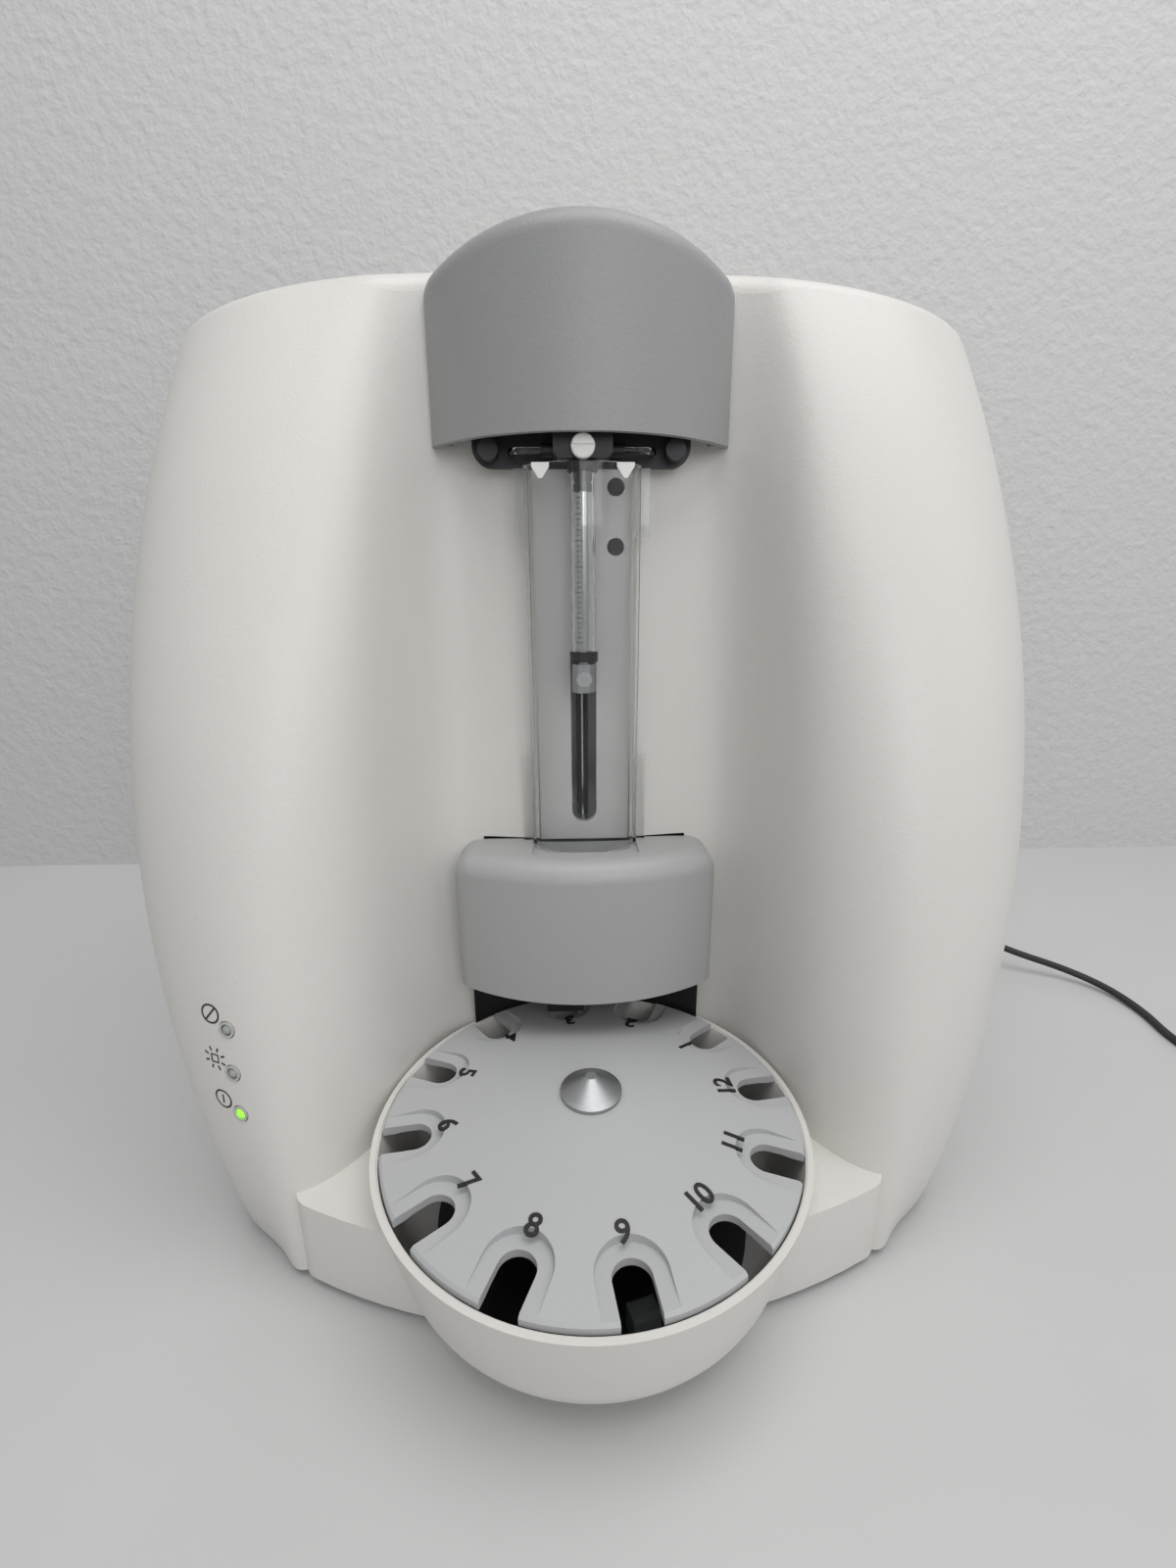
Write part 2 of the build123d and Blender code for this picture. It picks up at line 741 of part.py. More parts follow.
def plunger_rod():
    """Steel rod from the seal down to the clamp."""
    return post(rod_radius, 0, syringe_y, slot_high_z - 1 - clamp_height, barrel_high_z - seal_height)


def plunger_seal():
    """Black seal at the top of the rod, running in the barrel."""
    top = barrel_high_z - 0.5
    seal = post(barrel_bore - run_gap, 0, syringe_y, top - seal_height + 0.5, top)
    groove = post(barrel_bore + 1, 0, syringe_y, top - 4, top - 2.6)
    groove -= post(barrel_bore - 0.7, 0, syringe_y, top - 5, top)
    return seal - groove


def plunger_clamp():
    """Hexagonal clamp that holds the rod, with its arm through the pump slot."""
    top = slot_high_z - 1
    low = top - clamp_height
    radius = clamp_across / math.sqrt(3)
    clamp = Pos(0, syringe_y, low) * extrude(RegularPolygon(radius, 6), clamp_height)
    clamp -= post(rod_radius, 0, syringe_y, low - 1, top + 1)
    arm = block(-clamp_arm_half, clamp_arm_half, syringe_y + rod_radius + 1, drive_y - nut_radius - fit_gap,
                low + 2, top - 2)
    return clamp + arm


def clamp_screw():
    """Slotted screw on the front of the clamp."""
    front = syringe_y - clamp_across / 2
    middle = slot_high_z - 1 - clamp_height / 2
    screw = bar_y(3.2, 0, middle, front - 2, front)
    slot = Pos(0, front - 2, middle) * Rot(0, 40, 0) * Box(8, 1.6, 0.9)
    return screw - slot


def syringe_carriage():
    """Carriage on the lead screw, with its nut and guide bores."""
    top = slot_high_z - 1
    low = top - clamp_height
    carriage = block(-pump_half + 3, pump_half - 3, drive_y - nut_radius, drive_y + nut_radius, low, top)
    carriage -= post(screw_radius + run_gap, 0, drive_y, low - 1, top + 1)
    for side in (-1, 1):
        carriage -= post(guide_radius + run_gap, side * guide_x, drive_y, low - 1, top + 1)
    return carriage


def lead_screw():
    """Lead screw of the syringe pump, from its motor to the upper flange."""
    return post(screw_radius, 0, drive_y, pump_low_z - 11, channel_top_z - 0.5)


def pump_frame():
    """Folded bracket of the syringe pump: a back, two flanges and the guide rods between them."""
    high = channel_top_z - 1
    front = plate_y + channel_thickness
    frame = block(-pump_half, pump_half, upright_y - plate_thickness, upright_y, pump_low_z, high)
    for low in (pump_low_z, high - plate_thickness):
        frame += block(-pump_half, pump_half, front, upright_y, low, low + plate_thickness)
    for side in (-1, 1):
        frame += post(guide_radius, side * guide_x, drive_y, pump_low_z, high)
    return frame - post(screw_radius + run_gap, 0, drive_y, pump_low_z - 5, high + 5)


def syringe_motor():
    """Square stepper motor under the pump frame, bored for the lead screw."""
    half = motor_side / 2
    body = block(-half, half, drive_y - half, drive_y + half, pump_low_z - motor_height, pump_low_z)
    body = chamfer(body.edges().filter_by(Axis.Z), motor_side * 0.1)
    return body - post(screw_radius + run_gap, 0, drive_y, pump_low_z - 12, pump_low_z + 1)


# ---------------------------------------------------------------- sample probe
def probe_point():
    """Plan place of the needle, over a slot when the carousel rests."""
    angle = math.radians(180 + slot_phase)
    return slot_centre_radius * math.sin(angle), disc_y - slot_centre_radius * math.cos(angle)


def probe_needle():
    """Steel needle hanging from the probe arm."""
    x, y = probe_point()
    tube = post(needle_radius, x, y, needle_rest_z, needle_rest_z + needle_length)
    return tube - post(needle_radius * 0.5, x, y, needle_rest_z - 1, needle_rest_z + needle_length + 1)


def probe_arm():
    """Arm that carries the needle, slides on the guide rod and clamps to the belt."""
    x, y = probe_point()
    low = probe_arm_high_z - probe_arm_height
    belt_side = pulley_x - pulley_radius - fit_gap * 2 - belt_thickness
    arm = block(x - 7, belt_side, y - 6, y + 6, low, probe_arm_high_z)
    arm = fillet(arm.edges().filter_by(Axis.Z), 2)
    arm -= post(needle_radius, x, y, low - 1, probe_arm_high_z + 1)
    return arm - post(probe_guide_radius + run_gap, probe_guide_x, y, low - 1, probe_arm_high_z + 1)


def probe_bracket():
    """Folded bracket of the probe drive, with its guide rod, idler pin and legs to the upright."""
    x, y = probe_point()
    face_back = bracket_y + plate_thickness
    right = pulley_x + small_motor_side / 2 + 3
    left = -motor_side / 2 - plate_thickness - fit_gap
    bracket = block(left, right, bracket_y, face_back, bracket_low_z, bracket_high_z)
    for low in (bracket_low_z, bracket_high_z - plate_thickness):
        bracket += block(left, probe_guide_x + 8, y - 8, face_back, low, low + plate_thickness)
    for edge in (left, right - plate_thickness):
        bracket += block(edge, edge + plate_thickness, bracket_y, upright_y, bracket_low_z, bracket_high_z)
    bracket += post(probe_guide_radius, probe_guide_x, y, bracket_low_z, bracket_high_z)
    bracket -= post(needle_radius + 1, x, y, bracket_low_z - 1, bracket_high_z + 1)
    bracket -= bar_y(pulley_shaft_radius + run_gap, pulley_x, pulley_high_z, bracket_y - 1, face_back + 1)
    front = y - belt_width / 2 - 2
    bracket += bar_y(pulley_shaft_radius, pulley_x, pulley_low_z, front, face_back)
    return bracket + bar_y(pulley_shaft_radius + 1.5, pulley_x, pulley_low_z, front - 1.6, front)


def belt_pulley(height, shaft_back):
    """Flanged belt pulley; the drive pulley carries its shaft."""
    y = probe_point()[1]
    half = belt_width / 2 + fit_gap
    pulley = bar_y(pulley_radius, pulley_x, height, y - half, y + half)
    pulley += bar_y(pulley_radius + 1, pulley_x, height, y - half - 1, y - half)
    pulley += bar_y(pulley_radius + 1, pulley_x, height, y + half, y + half + 1)
    if shaft_back > y + half + 1:
        return pulley + bar_y(pulley_shaft_radius, pulley_x, height, y + half, shaft_back)
    return pulley - bar_y(pulley_shaft_radius + run_gap, pulley_x, height, y - 20, y + 20)


def drive_pulley():
    """Upper pulley, with the shaft that enters the motor."""
    return belt_pulley(pulley_high_z, bracket_y + plate_thickness + 12)


def idler_pulley():
    """Lower pulley, bored for its fixed pin."""
    return belt_pulley(pulley_low_z, -half_width)


def probe_belt():
    """Closed belt round both pulleys."""
    y = probe_point()[1]
    length = pulley_high_z - pulley_low_z
    inside = pulley_radius + fit_gap
    outside = inside + belt_thickness
    loop = SlotCenterToCenter(length, 2 * outside) - SlotCenterToCenter(length, 2 * inside)
    middle = (pulley_low_z + pulley_high_z) / 2
    place = Pos(pulley_x, y - belt_width / 2, middle) * Rot(90, 0, 0) * Rot(0, 0, 90)
    return place * extrude(loop, -belt_width)


def probe_motor():
    """Small stepper motor behind the bracket, bored for the drive pulley's shaft."""
    half = small_motor_side / 2
    front = bracket_y + plate_thickness
    body = block(pulley_x - half, pulley_x + half, front, front + small_motor_height,
                 pulley_high_z - half, pulley_high_z + half)
    body = chamfer(body.edges().filter_by(Axis.Y), 3)
    return body - bar_y(pulley_shaft_radius + run_gap, pulley_x, pulley_high_z, front - 1, front + 14)


def cavity_shroud():
    """Black wall and roof that close the space over the back of the carousel."""
    outer = bowl_radius
    inner = disc_radius + 1.5
    low = bowl_top_z + fit_gap
    ring = post(outer, 0, disc_y, low, bracket_low_z) - post(inner, 0, disc_y, low - 1, bracket_low_z - 2)
    reach = lower_half - cover_wall - 2
    keep = block(-reach, reach, lower_side_y + 1, 0, low, bracket_low_z)
    shroud = ring & keep
    x, y = probe_point()
    guide = block(x - 9, x + 9, y - 9, y + 6, disc_rim_z + needle_guide_gap, bracket_low_z - 2)
    shroud += guide
    return shroud - post(needle_radius + 0.8, x, y, low, bracket_low_z + 1)


def cup_sensor():
    """Small sensor block on the tray floor, seen through a slot."""
    angle = math.radians(sensor_turn)
    floor_z = bowl_bottom_z + bowl_wall + 2
    x = sensor_reach * math.sin(angle)
    y = disc_y - sensor_reach * math.cos(angle)
    sensor = Pos(x, y, floor_z + 6) * Rot(0, 0, sensor_turn) * Box(10, 8, 12)
    return chamfer(sensor.edges().group_by(Axis.Z)[-1], 1.5)


# ---------------------------------------------------------------- chassis
def base_plate():
    """Folded steel floor of the chassis, trimmed to the inside of the housing."""
    front = front_form(wall + plate_clearance, shell_bottom - 6, seam_y + 6)
    slab = block(-half_width, half_width, disc_y - 5, seam_y, base_low_z, base_high_z)
    plate = slab & front
    rear = rear_form(wall + plate_clearance, seam_y - 1, back_y - wall - plate_clearance, base_low_z)
    return plate + (rear & block(-half_width, half_width, seam_y - 1, back_y, base_low_z, base_high_z))


def feet():
    """Four rubber feet under the base plate."""
    group = None
    for x in (-foot_x, foot_x):
        for y in (front_foot_y, rear_foot_y):
            foot = post(foot_radius, x, y, 0, foot_height)
            foot = fillet(foot.edges().group_by(Axis.Z)[0], 1.5)
            group = foot if group is None else group + foot
    return group


def upright():
    """Upright plate across the housing, with the spacers of the board on its back."""
    back = upright_y + plate_thickness
    plate = block(-upright_half, upright_half, upright_y, back, base_high_z, upright_top_z)
    plate = chamfer(plate.edges().filter_by(Axis.Y).group_by(Axis.Z)[-1], 30)
    plate += block(-upright_half, upright_half, back, back + 18, base_high_z, base_high_z + plate_thickness)
    for x in (-80, 80):
        window = RectangleRounded(50, 60, 6)
        plate -= Pos(x, upright_y - 1, 90) * Rot(90, 0, 0) * extrude(window, -plate_thickness - 2)
    for x in (-board_half + 6, board_half - 6):
        for z in (board_low_z + 6, board_low_z + board_height - 6):
            plate += bar_y(3, x, z, upright_y + 1, back + spacer_length)
    return plate


def control_board():
    """Circuit board on the back of the upright, with its larger parts."""
    face = upright_y + plate_thickness + spacer_length
    board = block(-board_half, board_half, face, face + 1.6, board_low_z, board_low_z + board_height)
    parts = ((-60, 60, 30, 24, 3), (0, 70, 24, 24, 4), (55, 40, 18, 36, 9), (-70, 120, 40, 14, 10),
             (20, 125, 60, 12, 8))
    for x, up, width, height, depth in parts:
        low = board_low_z + up
        board += block(x - width / 2, x + width / 2, face + 1.6, face + 1.6 + depth, low, low + height)
    return board


def power_supply():
    """Cased power supply on the floor plate, with a slotted lid."""
    box = block(-135, -25, 70, 180, base_high_z, base_high_z + 42)
    box = chamfer(box.edges().filter_by(Axis.Z), 2)
    for index in range(8):
        y = 85 + index * 11
        box -= block(-120, -40, y, y + 4, base_high_z + 38, base_high_z + 43)
    return box


def optics_base():
    """Machined plate of the imaging bench, on two ribs."""
    low = base_high_z
    bench = block(optics_x, optics_x + 135, optics_y - 30, optics_y + 30, low + 12, low + 20)
    bench = fillet(bench.edges().filter_by(Axis.Z), 6)
    for x in (optics_x + 12, optics_x + 113):
        bench += block(x, x + 10, optics_y - 26, optics_y + 26, low, low + 12)
    return bench


def lamp_housing():
    """Finned housing of the imaging lamp."""
    low = base_high_z + 20
    body = block(optics_x + 4, optics_x + 28, optics_y - 14, optics_y + 14, low, low + 34)
    for index in range(5):
        z = low + 5 + index * 6
        for near, far in ((-14, -9), (9, 14)):
            body -= block(optics_x + 3, optics_x + 29, optics_y + near, optics_y + far, z, z + 3)
    return body


def flow_cell():
    """Glass flow cell in front of the lens."""
    low = base_high_z + 20
    cell = block(optics_x + 38, optics_x + 42, optics_y - 8, optics_y + 8, low, low + 38)
    return cell - post(0.8, optics_x + 40, optics_y, low + 1, low + 39)


def objective_lens():
    """Stepped lens barrel between the flow cell and the camera."""
    z = optics_z()
    lens = bar_x(6, optics_y, z, optics_x + 46, optics_x + 58)
    lens += bar_x(10, optics_y, z, optics_x + 58, optics_x + 88)
    return lens - bar_x(4, optics_y, z, optics_x + 45, optics_x + 89)


def camera_body():
    """Camera at the end of the imaging bench."""
    z = optics_z()
    low = base_high_z + 20
    body = block(optics_x + 88, optics_x + 126, optics_y - 16, optics_y + 16, low, z + 18)
    return fillet(body.edges().filter_by(Axis.X), 3)


def optics_z():
    """Height of the optical axis."""
    return base_high_z + 20 + 19


# ---------------------------------------------------------------- rear panel
def rear_panel():
    """Recessed sheet panel in the rear window, punched for the fan, inlet, switch, port and fittings."""
    back = panel_back_y
    front = back - panel_thickness
    edge = panel_thickness
    panel = block(-panel_half, panel_half, front, back + panel_recess, panel_low_z, panel_high_z)
    panel -= block(-panel_half + edge, panel_half - edge, back, back + panel_recess + 1,
                   panel_low_z + edge, panel_high_z - edge)
    depth = -panel_thickness - 4
    for ring in range(1, 4):
        inner = fan_hub + (ring - 1) * 7
        hole = Circle(inner + 5) - Circle(inner)
        hole -= Rectangle(100, 3) + Rectangle(3, 100)
        panel -= Pos(fan_x, front - 2, fan_z) * Rot(90, 0, 0) * extrude(hole, depth)
    panel -= block(inlet_x - inlet_width / 2, inlet_x + inlet_width / 2, front - 2, back + 2,
                   inlet_z - inlet_height / 2, inlet_z + inlet_height / 2)
    panel -= block(inlet_x - rocker_width / 2 - 2, inlet_x + rocker_width / 2 + 2, front - 2, back + 2,
                   switch_z - rocker_radius - 2, switch_z + rocker_radius + 2)
    panel -= block(port_block_x - port_width / 2 - 2, port_block_x + port_width / 2 + 2, front - 2, back + 2,
                   port_block_z - port_height / 2 - 2, port_block_z + port_height / 2 + 2)
    for index in range(4):
        panel -= bar_y(fitting_radius * 0.6 + fit_gap, fitting_x(index), port_block_z, front - 2, back + 2)
    for row in range(6):
        slot = extrude(SlotOverall(60, 4), depth)
        panel -= Pos(inlet_x + 5, front - 2, fan_z - 30 + row * 12) * Rot(90, 0, 0) * slot
    return panel


def fitting_x(index):
    """Place of each fluid fitting across the panel."""
    return (index - 1.7) * fitting_pitch


def fan_frame():
    """Square fan housing with its bore, hub struts and hub."""
    back = panel_back_y - panel_thickness
    front = back - fan_depth
    half = fan_side / 2
    frame = block(fan_x - half, fan_x + half, front, back, fan_z - half, fan_z + half)
    frame = fillet(frame.edges().filter_by(Axis.Y), 5)
    frame -= bar_y(fan_bore + 1, fan_x, fan_z, front - 1, back + 1)
    spokes = block(fan_x - fan_bore - 2, fan_x + fan_bore + 2, back - 3, back, fan_z - 2, fan_z + 2)
    spokes += block(fan_x - 2, fan_x + 2, back - 3, back, fan_z - fan_bore - 2, fan_z + fan_bore + 2)
    frame += spokes + bar_y(fan_hub, fan_x, fan_z, back - 3, back)
    return frame - bar_y(fan_shaft_radius + run_gap, fan_x, fan_z, back - 4, back + 1)


def fan_rotor():
    """Fan rotor: hub, shaft and raked blades."""
    back = panel_back_y - panel_thickness
    front = back - fan_depth
    rotor = bar_y(fan_hub, fan_x, fan_z, front + 1.5, back - 4)
    rotor += bar_y(fan_shaft_radius, fan_x, fan_z, back - 5, back - 0.5)
    reach = fan_bore - fan_hub + 1
    middle = (front + back - 2.5) / 2
    for index in range(fan_blades):
        blade = Pos(fan_hub + reach / 2 - 1, 0, 0) * Rot(35, 0, 0) * Box(reach, fan_depth * 0.6, 1.6)
        rotor += Pos(fan_x, middle, fan_z) * Rot(0, index * 360 / fan_blades, 0) * blade
    return rotor & bar_y(fan_bore, fan_x, fan_z, front + 1, back)


def power_inlet():
    """Mains inlet with its recess and three pins."""
    back = panel_back_y
    body = block(inlet_x - inlet_width / 2 + fit_gap, inlet_x + inlet_width / 2 - fit_gap, back - 24, back,
                 inlet_z - inlet_height / 2 + fit_gap, inlet_z + inlet_height / 2 - fit_gap)
    body += block(inlet_x - inlet_width / 2 - 3, inlet_x + inlet_width / 2 + 3, back, back + 3,
                  inlet_z - inlet_height / 2 - 3, inlet_z + inlet_height / 2 + 3)
    body -= block(inlet_x - inlet_width / 2 + 3, inlet_x + inlet_width / 2 - 3, back - 15, back + 4,
                  inlet_z - inlet_height / 2 + 3, inlet_z + inlet_height / 2 - 3)
    for x, z in ((-7, -2), (0, 3), (7, -2)):
        low, high = inlet_z + z - 2.5, inlet_z + z + 2.5
        body += block(inlet_x + x - 1, inlet_x + x + 1, back - 16, back - 1, low, high)
    return body


def switch_frame():
    """Frame of the mains switch, with pivots for its rocker."""
    back = panel_back_y
    wide = rocker_width / 2 + 2 - fit_gap
    tall = rocker_radius + 2 - fit_gap
    frame = block(inlet_x - wide, inlet_x + wide, back - 14, back, switch_z - tall, switch_z + tall)
    left, right = inlet_x - wide - 2, inlet_x + wide + 2
    frame += block(left, right, back, back + 2, switch_z - tall - 2, switch_z + tall + 2)
    frame -= block(inlet_x - rocker_width / 2, inlet_x + rocker_width / 2, back - 11.5, back + 3,
                   switch_z - rocker_radius - 0.4, switch_z + rocker_radius + 0.4)
    pin_reach = wide - 0.5
    return frame - bar_x(rocker_pin_radius + run_gap, back - 2, switch_z, inlet_x - pin_reach, inlet_x + pin_reach)


def switch_rocker():
    """Rocker of the mains switch, on its two pivots, pressed in at the bottom."""
    back = panel_back_y
    half = rocker_width / 2 - fit_gap
    rocker = bar_x(rocker_radius, back - 2, switch_z, inlet_x - half, inlet_x + half)
    away = Rot(rocker_rest, 0, 0) * Pos(0, 20 + 2.5, 0) * Box(40, 40, 60)
    rocker -= Pos(inlet_x, back - 2, switch_z) * away
    dish = Pos(inlet_x, back - 2, switch_z) * Rot(rocker_rest, 0, 0) * Pos(0, 62, 0) * Rot(0, 90, 0)
    rocker -= dish * Cylinder(60.5, 60)
    pin = bar_x(rocker_pin_radius, back - 2, switch_z, inlet_x - half - 1, inlet_x + half + 1)
    return rocker + pin


def data_port():
    """Data socket, with the mouth that the lead's connector enters."""
    back = panel_back_y
    wide = port_width / 2 + 2 - fit_gap
    tall = port_height / 2 + 2 - fit_gap
    socket = block(port_block_x - wide, port_block_x + wide, back - 16, back + 1, port_block_z - tall,
                   port_block_z + tall)
    return socket - block(port_block_x - port_width / 2, port_block_x + port_width / 2, back - 10, back + 2,
                          port_block_z - port_height / 2, port_block_z + port_height / 2)


def fluid_fittings():
    """Four bulkhead fittings for the reagent and waste lines."""
    back = panel_back_y
    group = None
    for index in range(4):
        x = fitting_x(index)
        fitting = bar_y(fitting_radius * 0.6, x, port_block_z, back - 10, back)
        fitting += Pos(x, back, port_block_z) * Rot(-90, 0, 0) * extrude(RegularPolygon(fitting_radius, 6), 4)
        fitting += bar_y(fitting_radius * 0.4, x, port_block_z, back + 4, back + 12)
        fitting += bar_y(fitting_radius * 0.52, x, port_block_z, back + 8, back + 9.5)
        fitting -= bar_y(fitting_radius * 0.2, x, port_block_z, back - 11, back + 13)
        group = fitting if group is None else group + fitting
    return group


# ---------------------------------------------------------------- status lamps
def lamp_bezels():
    """Bezel ring of each status lamp, set into the shell."""
    ring = Cylinder(lamp_radius, wall + 1.2) - Cylinder(lamp_radius - bezel_wall, wall + 3)
    ring = Pos(0, 0, -(wall + 1.2) / 2 + 0.4) * ring
    return Compound([lamp_axis(x, z) * ring for x, z in lamp_places])


def lamp_lenses():
    """Domed lens of each status lamp."""
    radius = lamp_radius - bezel_wall
    lens = Pos(0, 0, -2.6) * Cylinder(radius, 3) + Pos(0, 0, -1.4) * Sphere(radius * 0.95)
    return Compound([lamp_axis(x, z) * lens for x, z in lamp_places])


# ---------------------------------------------------------------- data lead
def cord_route():
    """Points of the lead from its connector, down behind the housing and out past its side."""
    return [
        (port_block_x, panel_back_y + connector_reach, port_block_z),
        (port_block_x, panel_back_y + connector_reach + 22, port_block_z),
        (91, 263, 56),
        (110, 279, 52),
        (140, 287, 47),
        (175, 283, 41),
        (212, 265, 35),
        (242, 232, 30),
        (262, 188, 26),
        (272, 140, 22),
        (285, 98, 19),
        (309, 75, 14),
        (336, 64, 8),
        (354, 46, 4),
        (359, 20, cord_diameter / 2),
        (353, -8, cord_diameter / 2),
        (coil_x - coil_mean_radius - cord_diameter, coil_y + 20, cord_diameter / 2),
        (coil_x - coil_mean_radius - cord_diameter - 0.5, coil_y + 10.5, cord_diameter / 2),
    ]


def corner_radii(points):
    """Radius of each corner: as large as its two runs allow."""
    radii = []
    for before, here, after in zip(points, points[1:], points[2:]):
        first = Vector(*here) - Vector(*before)
        second = Vector(*after) - Vector(*here)
        half_turn = math.radians(first.get_angle(second)) / 2
        radii.append(0.45 * min(first.length, second.length) / math.tan(half_turn))
    return radii


def lead_tube():
    """The stretch of the lead that isn't coiled."""
    points = cord_route()
    radii = corner_radii(points)
    print("lead radii", [round(radius) for radius in radii])
    path = FilletPolyline(*points, radius=radii)
    tube = sweep(Plane(path @ 0, z_dir=path % 0) * Circle(cord_diameter / 2), path)
    section = math.pi * cord_diameter ** 2 / 4
    print("lead length", round(path.length, 1), "volume ratio", round(tube.volume / section / path.length, 4))
    return tube


def lead_coil():
    """Outer shape of the coiled rest of the lead."""
    outer = coil_mean_radius + coil_section / 2
    inner = coil_mean_radius - coil_section / 2
    ring = post(outer, coil_x, coil_y, 0, coil_section) - post(inner, coil_x, coil_y, -1, coil_section + 1)
    return chamfer(ring.edges().filter_by(GeomType.CIRCLE), 2)


def connector_shape():
    """Moulded data connector along +Y from its metal nose."""
    nose = block(-port_width / 2 + 1, port_width / 2 - 1, -9.5, 0, -port_height / 2 + 1, port_height / 2 - 1)
    grip = block(-port_width / 2 - 1, port_width / 2 + 1, 0, 17, -port_height / 2 - 0.5, port_height / 2 + 0.5)
    grip = fillet(grip.edges().filter_by(Axis.Y), 2)
    relief = Pos(0, 17, 0) * Rot(-90, 0, 0) * Pos(0, 0, 4.85) * Cone(3.6, cord_diameter / 2 + 0.4, 9.7)
    return nose + grip + relief


def lead_connector():
    """Connector in the data port."""
    back = panel_back_y
    return Pos(port_block_x, back + 2.6, port_block_z) * connector_shape()


def lead_plug():
    """Far end of the lead, resting beside the coil with its relief against the last turn."""
    x = coil_x + coil_mean_radius + cord_diameter
    height = port_height / 2 + 0.5
    return Pos(x, coil_y + plug_reach, height) * Rot(0, 0, 180) * connector_shape()


# ---------------------------------------------------------------- build
lobe = front_form(0, shell_bottom, seam_y)
housing_clearance = front_form(-fit_gap, lower_bottom_z - 40, seam_y)
pieces = {
    "front_shell": front_shell,
    "rear_cover": rear_cover,
    "base_plate": base_plate,
    "feet": feet,
    "tray_bowl": tray_bowl,
    "tray_liner": tray_liner,
    "cavity_shroud": cavity_shroud,
    "cup_sensor": cup_sensor,
    "carousel_disc": carousel_disc,
    "carousel_knob": carousel_knob,
    "carousel_spindle": carousel_spindle,
    "carousel_motor": carousel_motor,
    "upper_cover": upper_cover,
    "lower_cover": lower_cover,
    "clear_guard": clear_guard,
    "channel_plate": channel_plate,
    "under_plate": under_plate,
    "valve_body": valve_body,
    "valve_rotor": valve_rotor,
    "valve_motor": valve_motor,
    "valve_tubing": valve_tubing,
    "syringe_barrel": barrel,
    "barrel_collars": barrel_collars,
    "plunger_rod": plunger_rod,
    "plunger_seal": plunger_seal,
    "plunger_clamp": plunger_clamp,
    "clamp_screw": clamp_screw,
    "syringe_carriage": syringe_carriage,
    "lead_screw": lead_screw,
    "pump_frame": pump_frame,
    "syringe_motor": syringe_motor,
    "probe_needle": probe_needle,
    "probe_arm": probe_arm,
    "probe_bracket": probe_bracket,
    "probe_belt": probe_belt,
    "probe_motor": probe_motor,
    "drive_pulley": drive_pulley,
    "idler_pulley": idler_pulley,
    "upright": upright,
    "control_board": control_board,
    "power_supply": power_supply,
    "optics_base": optics_base,
    "lamp_housing": lamp_housing,
    "flow_cell": flow_cell,
    "objective_lens": objective_lens,
    "camera_body": camera_body,
    "rear_panel": rear_panel,
    "fan_frame": fan_frame,
    "fan_rotor": fan_rotor,
    "power_inlet": power_inlet,
    "switch_frame": switch_frame,
    "switch_rocker": switch_rocker,
    "data_port": data_port,
    "fluid_fittings": fluid_fittings,
    "lamp_bezels": lamp_bezels,
    "lamp_lenses": lamp_lenses,
    "lead_connector": lead_connector,
    "lead_tube": lead_tube,
    "lead_coil": lead_coil,
    "lead_plug": lead_plug,
}
for name, make in pieces.items():
    save(make(), name)
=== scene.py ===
import math

import bmesh
import bpy
from mathutils import Matrix, Vector
from mathutils.bvhtree import BVHTree


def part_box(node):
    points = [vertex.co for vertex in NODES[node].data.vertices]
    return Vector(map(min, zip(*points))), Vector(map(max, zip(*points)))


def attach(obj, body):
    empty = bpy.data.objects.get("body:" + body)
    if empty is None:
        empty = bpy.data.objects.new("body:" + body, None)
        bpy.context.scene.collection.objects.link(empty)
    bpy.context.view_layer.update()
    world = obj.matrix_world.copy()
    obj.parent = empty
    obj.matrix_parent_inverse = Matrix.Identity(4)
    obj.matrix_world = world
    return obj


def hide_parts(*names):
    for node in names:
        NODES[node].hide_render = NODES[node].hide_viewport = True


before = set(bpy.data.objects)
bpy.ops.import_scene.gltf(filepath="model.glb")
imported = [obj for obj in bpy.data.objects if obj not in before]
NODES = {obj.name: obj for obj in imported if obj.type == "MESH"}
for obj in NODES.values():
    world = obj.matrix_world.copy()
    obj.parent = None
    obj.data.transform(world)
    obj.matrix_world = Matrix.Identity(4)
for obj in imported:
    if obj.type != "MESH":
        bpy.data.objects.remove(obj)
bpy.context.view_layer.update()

bl_info = {
    "name": "Cell Counter Dresser",
    "version": (1, 0, 0),
    "blender": (4, 5, 0),
    "location": "3D View > Sidebar > Counter",
    "description": "Gives a bench cell counter its finishes, symbols, numbers and lead",
    "category": "Object",
}

MM = 0.001
# A step, in metres, that sets the start of a ray clear of the surface it looks for.
RAY_STEP = 0.2

# Marks on the housing: a scuff and a rub with their places, reach and fading edge in millimetres,
# and a darkening towards the foot up to a height in metres.
SCUFF_PLACE, SCUFF_REACH, SCUFF_FADE = (-131.0, -122.0, 168.0), 4.6, 2.6
RUB_PLACE, RUB_REACH, RUB_FADE = (133.0, -118.0, 26.0), 9.0, 8.0
FOOT_DARK_TOP, FOOT_DARK_FADE = 0.018, 0.022
# Height under which a lamp's lens is lit, in metres.
LIT_BELOW = 0.083

